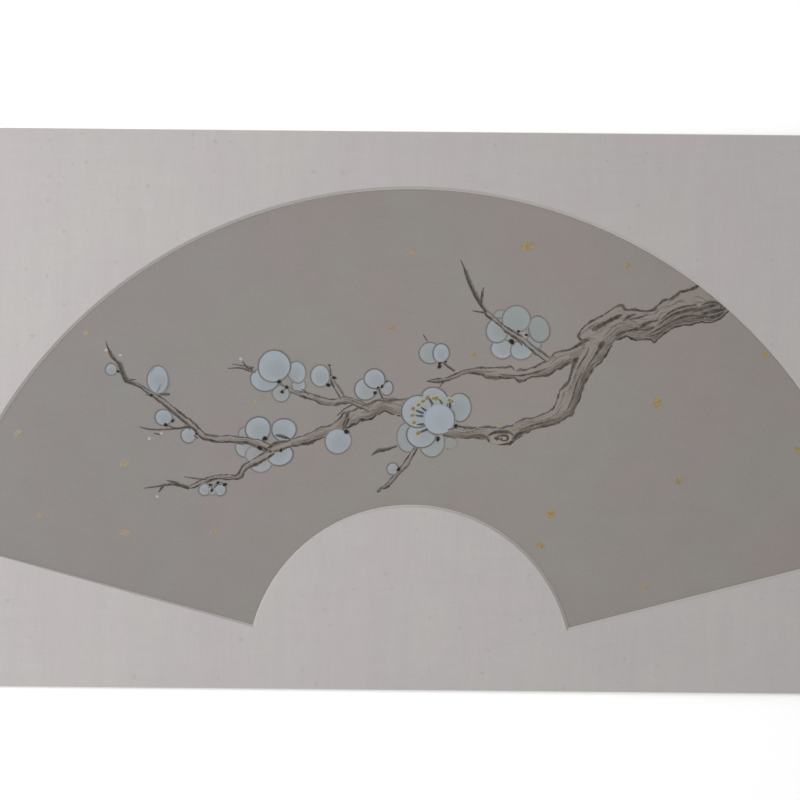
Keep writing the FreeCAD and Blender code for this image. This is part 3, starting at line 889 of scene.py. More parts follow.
def paint_knot(ink, brown):
    """The old scar on the lower trunk: a pale ring of healed bark round a dark eye."""
    healed = srgb(150, 141, 134)
    dot(ink, 49.8, -15.1, 6.0, healed, 0.47, 2, 0.7, HEALED_LIFT, BARK)
    for rows in (
        [(43, -13.4, 0.5), (45.6, -12.1, 1.3), (50, -11.5, 1.6), (54.6, -11.9, 1.3), (57, -13.6, 0.6)],
        [(46, -15, 0.5), (48, -14, 1.1), (51, -13.5, 1.0), (53.7, -14.3, 1.1), (53.6, -15.7, 1.0),
         (51.4, -16.3, 0.8), (49.8, -15.7, 0.7), (50.8, -14.9, 0.5)],
        [(46.2, -15.3, 0.5), (47.7, -15.2, 1.9), (49.3, -15.5, 0.7)],
        [(56.8, -17, 0.6), (57.8, -14.6, 1.8), (59.4, -12.8, 2.6), (62, -11.8, 1.6), (66, -10.4, 0.5)],
        [(36.6, -13.2, 0.6), (40, -13.9, 1.8), (42.2, -14.8, 1.3), (43.6, -17, 0.7)],
    ):
        accent(ink, rows, brown, SCAR_LIFT)


def paint_left_branches(ink):
    """The long branch to the left of the main blossom, its fork, and the side branch above it."""
    branch(
        ink,
        [(5, 1.5, 9.4), (-4.6, 2, 8.8), (-14, 3.2, 7), (-22.3, 0, 7.4), (-32.3, -3.3, 7.2),
         (-40.6, -8.8, 5.6), (-51, -12.7, 5), (-59.3, -16, 4.5), (-66.6, -17.7, 4), (-78, -22, 4.2)],
        seed=21, tone=1.0, strokes=1.6,
    )
    branch(
        ink,
        [(-76.5, -21.6, 3.6), (-83.2, -17.8, 3.3), (-91.4, -16, 3.1), (-99.6, -15.3, 3),
         (-110.6, -14.8, 2.5), (-114.2, -13.6, 2.5), (-120.4, -7.9, 2.6), (-127.2, -2.6, 2.7),
         (-135.5, 4.4, 2.3), (-143, 9.7, 1.7), (-150, 14, 1.4), (-156.4, 16.8, 1.2)],
        seed=22, tone=0.95, strokes=1.0,
    )
    branch(
        ink,
        [(-76.5, -22.4, 3.6), (-85.1, -27.3, 3.2), (-91.4, -31, 2.8), (-95, -36.2, 2.6), (-101, -36.4, 2.4),
         (-107, -36.2, 2.1), (-113.2, -38.2, 1.9), (-118.6, -40.6, 1.7), (-122.4, -42.2, 1.3)],
        seed=23, tone=0.95, strokes=1.0, level=1,
    )
    branch(
        ink,
        [(-22, 1.6, 3.4), (-31.4, 5, 3.2), (-36, 6.2, 3), (-42.8, 5, 2.6), (-47, 5.2, 2.6),
         (-55.8, 8.4, 2.5), (-62, 10, 2.3), (-69, 12.6, 1.8)],
        seed=24, tone=0.9, strokes=1.0, level=1,
    )
    branch(
        ink,
        [(-37.2, 6.8, 2.4), (-40, 11.4, 2.2), (-43, 16.4, 1.8), (-44.2, 20.6, 1.2)],
        seed=47, tone=0.75, strokes=0.4, level=1,
    )
    for rows, seed in (
        ([(-84, 21.4, 1.3), (-88.3, 22.2, 1.1), (-93.1, 23.7, 0.9), (-101, 23.6, 0.4)], 25),
        ([(-87.1, 23.2, 1.3), (-90.1, 24.3, 1.2), (-92.8, 27.4, 0.4)], 26),
        ([(-86.4, 24, 0.5), (-92, 25, 0.6), (-98.6, 26, 0.3)], 27),
        ([(-44, 19.6, 1.1), (-44.2, 22.4, 0.8), (-44.8, 25.2, 0.5)], 28),
        ([(-148, 12.8, 1.2), (-153.4, 15.4, 1.6), (-157.1, 17.6, 2.8), (-159.2, 22.2, 2.4),
          (-160.8, 26.2, 2.3), (-162.6, 28, 1.3), (-164.9, 30.6, 2.1), (-166.8, 34.6, 1.2),
          (-168.4, 38.4, 0.3)], 29),
        ([(-157.6, 16.2, 1.3), (-154.8, 17.2, 0.9), (-151.6, 17.4, 0.3)], 30),
        ([(-118, -11, 1.9), (-121.6, -8.6, 1.5), (-127.2, -9.3, 1.1), (-138, -10.2, 0.8),
          (-145.5, -9.8, 0.8), (-149.8, -8.6, 0.5)], 31),
        ([(-122.2, -42.4, 1.8), (-127.2, -40.8, 1.9), (-131.4, -40.2, 1.6), (-136.3, -40.9, 1.2),
          (-141.6, -41.8, 0.8), (-147.4, -42.6, 0.25)], 32),
        ([(-136, -41, 0.9), (-137.8, -42.8, 1.1), (-139, -44.8, 0.5)], 33),
        ([(-126.4, -41, 1.2), (-130, -39.4, 1.2), (-135, -38.2, 0.3)], 34),
        ([(-112.6, -37.8, 0.7), (-119, -37.2, 0.6), (-125, -36.2, 0.3)], 35),
        ([(-120.6, -9.2, 0.8), (-126.4, -4.4, 1.3), (-133, 1.1, 1.4), (-140, 6.6, 1.1),
          (-148, 12, 0.6)], 36),
        ([(-137.6, -13.2, 0.3), (-139.8, -12.6, 0.8), (-142, -12.2, 0.3)], 37),
        ([(-129.6, -9.4, 0.7), (-132, -8.8, 0.8), (-134.4, -7.6, 0.5)], 38),
        ([(-160.6, 26, 0.5), (-162.4, 23.6, 0.7), (-159.4, 20.4, 0.5), (-156.6, 18, 0.7)], 45),
        ([(-117.4, -15.2, 0.6), (-120.4, -12.2, 1.2), (-122.4, -9.2, 0.8)], 46),
        ([(-66.4, -14.8, 0.9), (-70, -13.6, 0.8), (-73.4, -13.4, 0.4)], 39),
        ([(-56, 8.8, 0.5), (-58.4, 11.2, 0.7), (-60.4, 12.2, 0.4)], 40),
        ([(-34, -4, 1.6), (-35.6, -7.6, 1.4), (-37.6, -10.6, 0.7)], 41),
        ([(-13, 5.6, 1.3), (-19, 6, 0.9), (-22, 4.6, 0.7), (-25, 3.6, 0.5)], 42),
        ([(-14.6, 6.4, 0.7), (-16.6, 9.6, 0.9), (-17.6, 13.4, 0.5)], 43),
        ([(-32, 3.6, 0.8), (-36.4, 1.2, 0.7), (-40.4, -2.4, 0.5)], 44),
    ):
        twig(ink, rows, seed)
    scar = srgb(60, 50, 45)
    accent(ink, [(-33.6, 0.4, 0.5), (-35, -2.4, 1.6), (-36.6, -6.6, 1.3), (-37.4, -9, 0.4)], scar)
    accent(ink, [(-4.6, 6.1, 0.5), (-8, 6.2, 1.0), (-12, 5.6, 2.2), (-16, 5.4, 0.6)], scar)


def paint_upper_shoots(ink):
    """The shoot that rises across the upper blossom, and the short ones round the other blossoms."""
    branch(
        ink,
        [(76.4, 28, 2.6), (71, 31.7, 2.5), (66.2, 35.7, 2.3), (60.2, 40.6, 2.1), (53.8, 44.4, 2.0),
         (48.4, 49, 1.9), (41.4, 55, 1.9)],
        seed=51, tone=0.8, strokes=0.4, level=2,
    )
    for rows, seed in (
        ([(42, 54.6, 1.9), (38.1, 60.3, 2.0), (34.1, 68, 2.0), (31.2, 75, 2.1), (29.6, 79.4, 1.0),
          (27.7, 83.5, 0.3)], 52),
        ([(38.6, 60.6, 1.6), (39.8, 64, 1.1), (40.2, 68.4, 0.3)], 53),
        ([(42, 54.4, 1.4), (38.6, 54.8, 0.9), (34, 55.4, 0.3)], 54),
        ([(24.4, 22.2, 1.2), (20.8, 24.6, 1.1), (17.6, 27, 0.7)], 55),
        ([(7, 42.4, 0.4), (8.2, 40.4, 0.6), (9.6, 38.2, 0.3)], 56),
        ([(-7.4, -19.3, 0.8), (-13, -21, 1.8), (-18, -22, 1.7), (-21.6, -24.4, 0.5)], 57),
        ([(22, 17.4, 1.0), (16, 16.2, 1.4), (9, 16.6, 0.6)], 58),
        ([(20, 17.2, 0.7), (17.4, 15.2, 0.6), (16, 13, 0.3)], 59),
        ([(39.2, 58.6, 1.8), (39.2, 62, 1.4), (39.4, 66.4, 0.5)], 60),
    ):
        twig(ink, rows, seed)
    branch(
        ink,
        [(3.4, -19.6, 1.4), (1, -23.4, 1.9), (-1.6, -28, 2.2), (-5.2, -32.4, 2), (-9, -36.8, 1.8),
         (-13.6, -41.4, 1.4), (-18.6, -44.6, 0.5)],
        seed=61, tone=0.9, strokes=0.8,
    )


def paint_front_bloom(pigment, ink):
    """The open blossom that faces forward, with gold anthers round its raised petal."""
    heart = (15.8, -4.6)
    petal(pigment, ink, 21.7, -17.8, 3.8, 0.8, 0, 0, 0.4, 0.4, None, 0.6)
    petals(pigment, ink, heart, (
        (-1.4, -14.6, 6.1, 1.27, 5, 0, 0.72, 0.8, 0.6),
        (11.8, -17.6, 6.9, 1.1, 0, 1, 0.74, 0.85, 0.4),
        (27.1, 2.1, 6.3, 1.2, 8, 1, 0.86, 0.95, 0.35),
        (5.8, -13.4, 7.7, 0.88, -6, 2, 0.92, 1.0),
        (13.3, 6.4, 7.5, 0.84, -18, 3, 0.88, 1.0),
        (3.7, -0.2, 8.2, 1.08, -12, 4, 0.95, 1.0),
    ))
    petal(pigment, ink, 15.9, -4.6, 8.3, 0.97, 0, 6, 1.0, 0.0, None, 0.0, 0.75)
    for rows in (
        [(8.4, -8.8, 0.2), (10.2, -11.2, 0.6), (14, -12.9, 0.7), (18.6, -12.4, 0.3)],
        [(21.6, 1.6, 0.3), (23.8, -1, 0.8), (24.4, -4.4, 0.4)],
    ):
        stroke(ink, rows, PETAL_LINE, 0.75, CREASE_LIFT, 0.2)
    filaments = (
        [(7.2, -1.2, 1.0), (5.2, -0.5, 0.9), (2.9, 0.4, 0.5)],
        [(7.0, -2.8, 0.9), (4.8, -2.7, 0.8), (2.7, -2.5, 0.4)],
        [(7.5, -7.2, 1.0), (5.5, -7.4, 1.0), (3.4, -7.5, 0.4)],
        [(9.6, -10.1, 0.9), (7, -11, 0.9), (4.6, -12, 0.5)],
        [(8.6, 0.1, 0.9), (7.4, 1, 0.8), (5.8, 2.1, 0.4)],
        [(12.3, 3.7, 1.1), (11.2, 5.4, 1.0), (10.1, 7.1, 0.7)],
        [(17.4, 3.9, 0.9), (16.7, 5.2, 0.8), (15.7, 6.6, 0.4)],
        [(21.8, 1.5, 1.3), (21.8, 3.2, 1.2), (21.8, 5.0, 0.6)],
    )
    for rows in filaments:
        bold = [(x, y, 1.2 * width) for x, y, width in rows]
        stroke(ink, over(bold, PETAL_WHITE, 0.95), FILAMENT, 0.97, STAMEN_LIFT, 0.1)
    for x, y, size in (
        (1.5, 1.3, 1.2), (1.1, -2.4, 1.0), (2.0, -6.4, 1.0), (4.2, -12.2, 1.2), (4.5, 3.4, 1.1),
        (7.0, 5.4, 1.1), (9.3, 7.3, 1.2), (12.8, 7.0, 0.9), (14.4, 6.9, 1.2), (21.4, 6.0, 1.0),
        (23.0, 5.2, 0.9),
    ):
        dot(pigment, x, y, size * 1.8, ANTHER_GLOW, 0.9, 0, 0.75, SCAR_LIFT, PETAL_WHITE)
        dot(pigment, x, y, size, ANTHER, 0.75, 35 * size, 0.95, STEM_LIFT, ANTHER_GLOW)
    ring = [
        (1.8, -6.4, 0.8), (1.1, -2.4, 1.2), (1.5, 1.3, 1.5),
        (4.5, 3.4, 1.5), (7, 5.4, 1.5), (9.3, 7.3, 1.2),
    ]
    stroke(pigment, over(ring, PETAL_WHITE, 0.95), ANTHER_GLOW, 0.6, CREASE_LIFT, 0.3)
    dot(ink, 25.0, -8.3, 1.25, CALYX, 0.8, 30)
    dot(ink, 15.1, -15.4, 0.95, CALYX, 1.45, 0)
    stroke(ink, [(20.6, -10.4, 0.5), (23, -9.8, 0.7), (26, -8.6, 0.4)], CONTOUR_INK, 0.85, THREAD_LIFT, 0.2)


def paint_back_bloom(pigment, ink):
    """The open blossom seen from behind, at the left branch's fork."""
    heart = (-77.5, -17.5)
    petals(pigment, ink, heart, (
        (-91.4, -12.7, 3.5, 1.0, 0, 0, 0.35, 0.7),
        (-90.8, -19.7, 5.7, 1.0, 0, 0, 0.7, 0.85),
        (-82.6, -28.0, 5.9, 1.0, 0, 1, 0.72, 0.6),
        (-85.6, -23.6, 5.4, 0.85, 20, 2, 0.55, 0.5),
        (-72.1, -24.2, 6.9, 0.85, 12, 2, 0.92, 1.0),
        (-69.9, -10.4, 6.5, 0.95, 0, 2, 0.92, 1.0),
        (-84.2, -10.0, 6.7, 1.0, 0, 3, 0.95, 1.0),
    ))


def paint_back_bloom_stem(ink):
    """The fork that crosses in front of the blossom seen from behind, with its calyx drops."""
    branch(
        ink,
        [(-66, -17.4, 4), (-72, -19.4, 3.6), (-77.6, -21.6, 3.8)],
        seed=71, tone=1.0, strokes=1.6, level=6,
    )
    branch(
        ink,
        [(-76, -21.4, 3.4), (-82, -18.3, 3.1), (-90, -16.2, 3.0), (-99, -15.4, 2.9)],
        seed=72, tone=1.0, strokes=0.8, level=7,
    )
    branch(
        ink,
        [(-76, -22, 3.4), (-84, -26.8, 3.1), (-91, -30.8, 2.7)],
        seed=73, tone=1.0, strokes=0.8, level=8,
    )
    for rows in (
        [(-66.6, -15.4, 0.6), (-71, -14, 1.5), (-74.6, -13.2, 0.7)],
        [(-70.4, -16.8, 0.5), (-74, -17.4, 1.2), (-77.4, -19.6, 1.4), (-79.4, -20.6, 0.6)],
        [(-98, -16.8, 0.4), (-91, -17.4, 1.2), (-84, -20, 1.2), (-79.6, -22.8, 0.8)],
    ):
        accent(ink, rows, CONTOUR_INK, STEM_LIFT)
    calyx_drops(ink, ((-80.4, -15.2, 1.5, -10), (-83.2, -20.4, 1.6, -25), (-71.6, -21.6, 1.1, 60)))


def paint_upper_blooms(pigment, ink):
    """The round blossoms on the upper left side branch."""
    heart = (-70, 14)
    petals(pigment, ink, heart, (
        (-71.6, 9.7, 4.5, 1.0, 0, 0, 0.55, 0.8),
        (-61.7, 14, 3.6, 1.0, 0, 0, 0.8, 0.7),
        (-62.8, 21.5, 4.8, 1.22, 10, 1, 0.85, 0.7),
        (-80.6, 17.2, 7.6, 0.82, -8, 2, 0.95, 0.95),
    ))
    petal(pigment, ink, -75.3, 24.8, 8.7, 1.0, 0, 4, 1.0, 0.95)
    calyx_drops(ink, ((-72.6, 16.2, 1.25, 50), (-68.4, 13.2, 1.0, 20), (-70.9, 10.6, 1.0, -30)), 0.8)
    for rows in (
        [(-72.2, 15.4, 0.5), (-70.4, 14, 0.4), (-69, 12.6, 0.5)],
        [(-70.8, 11, 0.4), (-69.6, 12, 0.4), (-68.2, 12.4, 0.4)],
    ):
        stroke(ink, rows, CONTOUR_INK, 0.85, THREAD_LIFT, 0.2)
    petal(pigment, ink, -13.2, 12.8, 3.4, 1.15, 10, 0, 0.65, 0.95)
    petal(pigment, ink, -24.8, 12, 5.9, 1.0, 0, 1, 0.85, 0.95)
    petal(pigment, ink, -19.8, 17.8, 5.6, 0.95, -15, 2, 0.92, 1.05)
    calyx_drops(ink, (
        (-19.6, 10, 1.1, 40), (-18.0, 12.8, 0.8, 60), (-15.7, 13.6, 0.9, 70), (-13.2, 16.2, 0.6, 0),
    ))
    petal(pigment, ink, -49.9, 19.4, 5.2, 1.12, 0, 1, 0.95, 0.8)
    calyx_drops(ink, ((-45.4, 14.4, 1.3, 10), (-42.2, 18.4, 1.1, -10), (-44.9, 25.3, 0.6, 0)))
    petal(pigment, ink, -40, -16.6, 7.1, 0.96, 0, 1, 0.97, 0.8)
    dot(ink, -35.4, -11.4, 1.4, CALYX, 0.8, -50)


def paint_pair_and_top_bloom(pigment, ink):
    """The pair of small blossoms, and the pale one under the upper shoot."""
    petal(pigment, ink, 10.8, 32, 5.8, 1.0, 0, 0, 0.85, 0.9, None, 0.4)
    petal(pigment, ink, 16.9, 32, 4.3, 1.18, 0, 1, 0.95, 0.9)
    calyx_drops(ink, ((16, 24.6, 1.2, 80), (19.3, 27.2, 0.7, 60)))
    dot(ink, 16.1, 26.2, 1.0, CALYX, 0.75, 80)
    petals(pigment, ink, (58, 41.5), (
        (49.8, 51.6, 4, 1.0, 0, 0, 0.6, 0.6, 0.8), (68, 37.4, 4.1, 1.0, 0, 0, 0.65, 0.75, 0.85),
        (58, 41, 6.4, 1.0, 0, 0, 0.8, 0.0, 0.6), (50.4, 34.2, 5.7, 0.93, 0, 1, 0.92, 0.85, 0.0),
        (61.3, 33.6, 5.8, 0.9, 0, 2, 0.88, 0.7, 0.15), (47.8, 44.5, 5.8, 1.15, 0, 2, 0.85, 0.8, 0.35),
        (71, 45.2, 5.5, 1.3, 12, 2, 0.75, 0.9, 0.9), (58.4, 50.8, 7.5, 0.97, 0, 3, 0.84, 0.75, 0.7),
    ))
    branch(
        ink,
        [(71, 31.7, 2.5), (66.2, 35.7, 2.3), (60.2, 40.6, 2.1), (53.8, 44.4, 1.9), (46, 51, 1.9)],
        seed=75, tone=0.9, strokes=0.6, level=8,
    )
    stroke(ink, [(58.6, 39.6, 0.5), (60.4, 37.9, 0.9), (61.8, 36.2, 0.4)], CALYX, 0.9, STEM_LIFT, 0.2)
    calyx_drops(ink, ((55.9, 38.3, 1.7, -30), (59.6, 44, 0.85, 20), (64, 42, 0.85, 0)))


def paint_far_buds(pigment, ink):
    """The buds along the thin left shoots, their calyx drops, and the dots of white beyond them."""
    for x, y, radius, ratio, density, line in (
        (-139.6, 17.3, 5.8, 1.27, 0.9, 0.75), (-136.4, -3.5, 4.5, 0.96, 0.9, 0.9),
        (-122.7, -13.4, 4.0, 1.0, 0.85, 0.9), (-165.3, 23, 3.1, 1.0, 0.75, 0.8),
        (-113.6, -43.4, 3.3, 0.95, 0.8, 0.9), (-105.2, -43.2, 3.2, 1.05, 0.85, 0.9),
        (-9.8, -32, 3.1, 1.0, 0.75, 0.9), (-109.4, -43.8, 2.4, 1.0, 0.6, 0.6),
    ):
        petal(pigment, ink, x, y, radius, ratio, 0, 1, density, line)
    calyx_drops(ink, (
        (-143.2, 8.7, 1.1, 0), (-135.2, -7.7, 1.2, 0), (-131.4, -5.4, 1.0, 50), (-161.5, 21.9, 0.9, 0),
        (-110.6, -40.8, 0.9, 0), (-106.4, -39.6, 1.0, 30), (-102.6, -40.6, 1.2, 0), (-109.8, -43.8, 0.9, 40),
        (-6.6, -32.2, 1.2, 50), (-118.2, -12.4, 0.8, 20),
    ))
    for rows in (
        [(-138.6, 9.2, 0.5), (-136.4, 9.3, 1.3), (-134, 9.2, 1.2), (-133, 9.2, 0.4)],
        [(-143.2, 8.7, 0.5), (-145, 8.9, 0.5), (-146.4, 9.2, 0.2)],
        [(-109.8, -43.8, 0.4), (-107, -41, 0.4), (-103.6, -40.4, 0.3)],
        [(-110.6, -40.8, 0.4), (-109.8, -42.4, 0.4), (-110, -44, 0.3)],
    ):
        stroke(ink, rows, CALYX, 0.92, STEM_LIFT, 0.2)
    creases = [
        ([(-133.6, 18.6, 0.4), (-134.2, 13.4, 0.9), (-136.8, 10.2, 0.5)], 0.75),
        ([(-138.2, 14.8, 0.3), (-138.9, 12.4, 0.8), (-140.2, 10.4, 0.6)], 0.7),
        ([(-141.6, 23.6, 0.3), (-143, 22.6, 0.8), (-143.4, 21.2, 0.3)], 0.55),
    ]
    for rows, cover in creases:
        stroke(ink, over(rows, PETAL_WHITE, 0.9), PETAL_LINE, cover, CREASE_LIFT, 0.3)
    for x, y, size in (
        (-168.2, 33.7, 0.9), (-160.3, 30.9, 0.8), (-144.3, -15.2, 0.9), (-139.9, -47.3, 0.8),
        (-93.8, 28.8, 0.9), (-137.6, -12.4, 0.8),
    ):
        dot(pigment, x, y, size, DEW, 0.9, 0, 0.8, DEW_LIFT)


def paint_picture():
    """The whole picture, in the order that it was painted."""
    ink = Film("painted_branches", "ink")
    pigment = Film("painted_blossoms", "white_pigment")
    lines = Film("painted_lines", "ink")
    paint_left_branches(ink)
    paint_trunk(ink)
    paint_trunk_details(ink)
    paint_upper_shoots(ink)
    paint_front_bloom(pigment, lines)
    paint_back_bloom(pigment, lines)
    paint_back_bloom_stem(lines)
    paint_upper_blooms(pigment, lines)
    paint_pair_and_top_bloom(pigment, lines)
    paint_far_buds(pigment, lines)
    for film in (ink, pigment, lines):
        film.build()


# ---------------------------------------------------------------- the leaf, foil, hinges, tape and card

def closed_sheet(tops, bottoms):
    """The points and faces of a thin closed sheet between two grids of points."""
    rows, columns = tops.shape[:2]
    points = np.concatenate([tops.reshape(-1, 3), bottoms.reshape(-1, 3)])
    under = rows * columns
    faces = []
    for i in range(rows - 1):
        for j in range(columns - 1):
            a = i * columns + j
            faces.append((a, a + 1, a + columns + 1, a + columns))
            faces.append((under + a + columns, under + a + columns + 1, under + a + 1, under + a))
    rim = (
        [j for j in range(columns - 1)]
        + [i * columns + columns - 1 for i in range(rows - 1)]
        + [(rows - 1) * columns + j for j in range(columns - 1, 0, -1)]
        + [i * columns for i in range(rows - 1, 0, -1)]
    )
    for order, a in enumerate(rim):
        b = rim[(order + 1) % len(rim)]
        faces.append((b, a, under + a, under + b))
    return points, faces


def sheet_mesh(name, tops, bottoms):
    points, faces = closed_sheet(tops, bottoms)
    mesh = bpy.data.meshes.new(name)
    mesh.from_pydata([tuple(point) for point in points * MM], [], faces)
    return mesh


def make_fan_sheet(name, node, slot, rows, columns, tear, seed):
    """A fan-shaped paper over a CAD node's thickness, a little risen off the board and torn at its edges."""
    low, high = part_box(node)
    rng = random.Random(seed)
    edge_tears = {side: [rng.uniform(0, tear) for _ in range(columns + rows)] for side in range(4)}
    tops = np.zeros((rows, columns, 3))
    for i in range(rows):
        share = i / (rows - 1)
        for j in range(columns):
            inner = FAN_INNER_RADIUS + edge_tears[0][j]
            outer = FAN_OUTER_RADIUS - edge_tears[1][j]
            radius = inner + (outer - inner) * share
            start = FAN_EDGE_RISE - math.asin((FAN_MARGIN - edge_tears[2][i]) / radius)
            stop = math.pi - FAN_EDGE_RISE + math.asin((FAN_MARGIN - edge_tears[3][i]) / radius)
            angle = stop + (start - stop) * j / (columns - 1)
            x = FAN_CENTRE[0] + radius * math.cos(angle)
            y = FAN_CENTRE[1] + radius * math.sin(angle)
            tops[i, j] = x, y, high.z / MM + cockle(x, y)
    bottoms = tops.copy()
    bottoms[..., 2] -= (high.z - low.z) / MM
    piece = finish_piece(name, sheet_mesh(name, tops[:, ::-1], bottoms[:, ::-1]), slot, "backboard")
    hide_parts(node)


def node_islands(node):
    """The separate pieces of a CAD node, each as its points in millimetres."""
    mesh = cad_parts[node].data
    points = np.array([vertex.co[:] for vertex in mesh.vertices]) / MM
    parent = list(range(len(points)))

    def root(index):
        while parent[index] != index:
            parent[index] = parent[parent[index]]
            index = parent[index]
        return index

    seen = {}
    for index, point in enumerate(points):
        key = tuple(np.round(point, 3))
        parent[index] = root(seen.setdefault(key, index))
    for edge in mesh.edges:
        parent[root(edge.vertices[0])] = root(edge.vertices[1])
    groups = {}
    for index in range(len(points)):
        groups.setdefault(root(index), []).append(index)
    return [points[group] for group in groups.values()]


FLAKE_SPOKES = 48
FLAKE_SHARES = (0.02, 0.3, 0.55, 0.78, 0.92, 1.0)
FLAKE_WEAR = 0.14
FLAKE_EDGE_LIFT = 0.004
FLAKE_LIFT = 0.012
FLAKE_CREASE = 0.03


def make_gold_flakes():
    """Creased gold foil over each CAD fleck, worn ragged at its edges."""
    points = []
    faces = []
    rng = random.Random(5)
    for island in node_islands("gold_flecks"):
        flat = island[island[:, 2] > island[:, 2].mean(), :2]
        centre = flat.mean(axis=0)
        angles = np.arctan2(*(flat - centre).T[::-1])
        order = np.argsort(angles)
        reach = np.linalg.norm(flat - centre, axis=1)[order]
        angles = angles[order]
        around = np.linspace(-math.pi, math.pi, FLAKE_SPOKES, endpoint=False)
        radius = np.interp(around, angles, reach, period=2 * math.pi)
        radius *= 1 - FLAKE_WEAR * np.abs(wobble(FLAKE_SPOKES, rng, 2))
        base = len(points)
        for share in FLAKE_SHARES:
            for spoke in range(FLAKE_SPOKES):
                x = centre[0] + share * radius[spoke] * math.cos(around[spoke])
                y = centre[1] + share * radius[spoke] * math.sin(around[spoke])
                crease = 0.5 + 0.5 * noise.noise(Vector((x * 1.7, y * 1.7, 9.0)))
                lift = FLAKE_EDGE_LIFT if share == 1.0 else FLAKE_LIFT + FLAKE_CREASE * crease
                points.append((x * MM, y * MM, (LEAF_TOP + cockle(x, y) + lift) * MM))
        for ring in range(len(FLAKE_SHARES) - 1):
            for spoke in range(FLAKE_SPOKES):
                a = base + ring * FLAKE_SPOKES + spoke
                b = base + ring * FLAKE_SPOKES + (spoke + 1) % FLAKE_SPOKES
                faces.append((a, a + FLAKE_SPOKES, b + FLAKE_SPOKES, b))
        faces.append(tuple(base + spoke for spoke in range(FLAKE_SPOKES)))
    mesh = bpy.data.meshes.new("gold_flakes")
    mesh.from_pydata(points, [], faces)
    piece = finish_piece("gold_flakes", mesh, "gold_foil", "backboard")
    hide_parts("gold_flecks")


STRIP_THICKNESS = 0.1
STRIP_TEAR = 0.55
STRIP_ROWS = 60
STRIP_COLUMNS = 90
# A cross strip steps down beside the strip that it crosses, between these two distances from its middle.
STEP_START = 8.0
STEP_END = 9.4


def make_torn_strip(node, seed):
    """A hinge paper torn to shape along its long fibres, over its CAD node."""
    points = np.array([vertex.co[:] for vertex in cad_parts[node].data.vertices]) / MM
    middle = (points.min(axis=0) + points.max(axis=0)) / 2
    out = middle[:2] - FAN_CENTRE
    out /= np.linalg.norm(out)
    side = np.array([-out[1], out[0]])
    reach_out = np.abs((points[:, :2] - middle[:2]) @ out).max()
    reach_side = np.abs((points[:, :2] - middle[:2]) @ side).max()
    bottom = points[:, 2].min()
    stepped = points[:, 2].max() - bottom > 1.5 * STRIP_THICKNESS
    rng = random.Random(seed)
    tops = np.zeros((STRIP_ROWS, STRIP_COLUMNS, 3))
    tears = [[rng.uniform(0, STRIP_TEAR) for _ in range(STRIP_COLUMNS)] for _ in range(4)]
    for i in range(STRIP_ROWS):
        for j in range(STRIP_COLUMNS):
            u = 2 * i / (STRIP_ROWS - 1) - 1
            v = 2 * j / (STRIP_COLUMNS - 1) - 1
            u *= 1 - (tears[0][j] if u < 0 else tears[1][j]) * abs(u) / reach_out
            v *= 1 - (tears[2][i] if v < 0 else tears[3][i]) * abs(v) / reach_side
            x, y = middle[:2] + out * u * reach_out + side * v * reach_side
            rise = STRIP_THICKNESS
            if stepped:
                beside = float(smoothstep(abs(v) * reach_side, STEP_START, STEP_END))
                rise += STRIP_THICKNESS * (1 - beside)
            tops[i, j] = x, y, bottom + rise
    bottoms = tops.copy()
    bottoms[..., 2] -= STRIP_THICKNESS
    name = node.replace("leaf_hinge", "torn_hinge")
    piece = finish_piece(name, sheet_mesh(name, tops, bottoms), "hinge_paper", "backboard")
    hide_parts(node)


TAPE_ROWS = 26
TAPE_COLUMNS = 561
TAPE_FOLD_STEPS = 12
TAPE_SWAY = 0.18


def make_tape():
    """One folded linen tape over both CAD legs, from the backboard round the fold to the window board."""
    lower_low, lower_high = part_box("hinge_tape_lower")
    upper_low, upper_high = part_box("hinge_tape_upper")
    thickness = (lower_high.z - lower_low.z) / MM
    level_low = (lower_low.z + lower_high.z) / 2 / MM
    level_high = (upper_low.z + upper_high.z) / 2 / MM
    fold_y = lower_high.y / MM
    bend = (level_high - level_low) / 2
    path = [(y, level_low, -1.0, 0.0) for y in np.linspace(lower_low.y / MM, fold_y, TAPE_ROWS)]
    for step in range(1, TAPE_FOLD_STEPS):
        angle = -math.pi / 2 + math.pi * step / TAPE_FOLD_STEPS
        up, out = math.sin(angle), math.cos(angle)
        path.append((fold_y + bend * out, level_low + bend + bend * up, up, out))
    path += [(y, level_high, 1.0, 0.0) for y in np.linspace(fold_y, upper_low.y / MM, TAPE_ROWS)]
    rng = random.Random(8)
    sway = TAPE_SWAY * wobble(TAPE_COLUMNS, rng, 5)
    low_x, high_x = lower_low.x / MM, lower_high.x / MM
    outer = np.zeros((len(path), TAPE_COLUMNS, 3))
    inner = np.zeros_like(outer)
    for i, (y, z, up, out) in enumerate(path):
        from_fold = (fold_y - y) / (fold_y - lower_low.y / MM)
        for j in range(TAPE_COLUMNS):
            x = low_x + (high_x - low_x) * j / (TAPE_COLUMNS - 1)
            shift = max(0.0, from_fold) ** 6 * sway[j]
            outer[i, j] = x, y + shift + out * thickness / 2, z + up * thickness / 2
            inner[i, j] = x, y + shift - out * thickness / 2, z - up * thickness / 2
    mesh = sheet_mesh("linen_hinge_tape", outer[:, ::-1], inner[:, ::-1])
    piece = finish_piece("linen_hinge_tape", mesh, "linen_tape")
    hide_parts("hinge_tape_lower", "hinge_tape_upper")
    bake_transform(piece)


CARD_SLOTS = {
    "backboard_back_paper": "board_liner_paper",
    "backboard_core": "board_core",
    "backboard_face_paper": "board_liner_paper",
    "window_liner_paper": "board_liner_paper",
    "window_board_core": "board_core",
    "window_facing_paper": "window_paper",
}


def dress_card():
    """Give the board layers that keep their CAD shape their own papers and pulp."""
    for node, slot in CARD_SLOTS.items():
        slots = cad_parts[node].data.materials
        slots.clear()
        slots.append(MATERIALS[slot])


# ---------------------------------------------------------------- studio

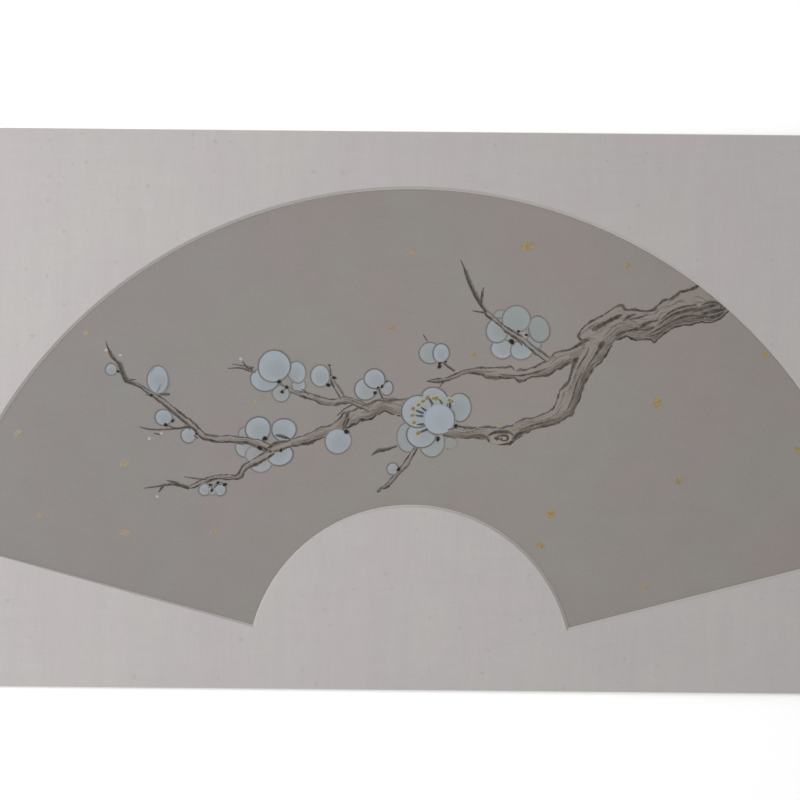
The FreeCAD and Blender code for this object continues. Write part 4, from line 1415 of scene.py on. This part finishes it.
# The picture's width and middle are on the painter's axes: metres across, and millimetres from the origin.
FRAME_WIDTH = 0.4416
FRAME_MIDDLE = (-5.8, 6.1)
LENS = 200.0
SENSOR = 36.0
SKY_STRENGTH = 0.6
FLOOR_REACH = 6.0
FLOOR_GAP = 0.0002
FLOOR_GREY = 0.95
FLOOR_GLOW = 0.18
KEY_PLACE = (-0.7, 0.1, 0.79)
KEY_SIZE = 0.45
KEY_POWER = 6.3


def make_studio():
    """A pale floor, a soft key from the upper left, a level fill, and a long lens looking straight down."""
    scene = bpy.context.scene
    scene.view_settings.view_transform = "Standard"
    scene.view_settings.look = "None"
    scene.view_settings.exposure = 0.0
    scene.view_settings.gamma = 1.0
    world = bpy.data.worlds.new("studio")
    world.use_nodes = True
    background = world.node_tree.nodes["Background"]
    background.inputs["Color"].default_value = (1, 1, 1, 1)
    background.inputs["Strength"].default_value = SKY_STRENGTH
    scene.world = world

    material, _, shader = new_material("floor", roughness=1.0, specular=0.0)
    shader.inputs["Base Color"].default_value = (FLOOR_GREY, FLOOR_GREY, FLOOR_GREY, 1)
    shader.inputs["Emission Color"].default_value = (1, 1, 1, 1)
    shader.inputs["Emission Strength"].default_value = FLOOR_GLOW
    corners = [(x * FLOOR_REACH, y * FLOOR_REACH, 0) for x, y in ((-1, -1), (1, -1), (1, 1), (-1, 1))]
    mesh = bpy.data.meshes.new("floor")
    mesh.from_pydata(corners, [], [(0, 1, 2, 3)])
    mesh.materials.append(material)
    floor = bpy.data.objects.new("floor", mesh)
    floor.location.z = cad_low.z - FLOOR_GAP
    scene.collection.objects.link(floor)

    light = bpy.data.lights.new("key", "AREA")
    light.shape = "DISK"
    light.size = KEY_SIZE
    light.energy = KEY_POWER
    key = bpy.data.objects.new("key", light)
    key.location = KEY_PLACE
    key.rotation_euler = (-key.location).to_track_quat("-Z", "Y").to_euler()
    scene.collection.objects.link(key)

    lens = bpy.data.cameras.new("camera")
    lens.lens = LENS
    lens.sensor_width = SENSOR
    lens.dof.use_dof = False
    lens.clip_start = 0.05
    lens.clip_end = 50.0
    camera = bpy.data.objects.new("camera", lens)
    x, y = on_leaf([FRAME_MIDDLE])[0] * MM
    camera.location = (x, y, cad_high.z + FRAME_WIDTH * LENS / SENSOR)
    camera.rotation_euler = (0, 0, PAINTING_TURN)
    scene.collection.objects.link(camera)
    scene.camera = camera


dress_card()
make_fan_sheet("leaf_sheet", "painted_leaf", "leaf_paper", 84, 300, 0.35, 3)
make_fan_sheet("lining_sheet", "leaf_lining", "lining_paper", 30, 120, 0.3, 4)
make_gold_flakes()
for index, node in enumerate(sorted(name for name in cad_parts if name.startswith("leaf_hinge"))):
    make_torn_strip(node, 90 + index)
make_tape()
paint_picture()
make_studio()
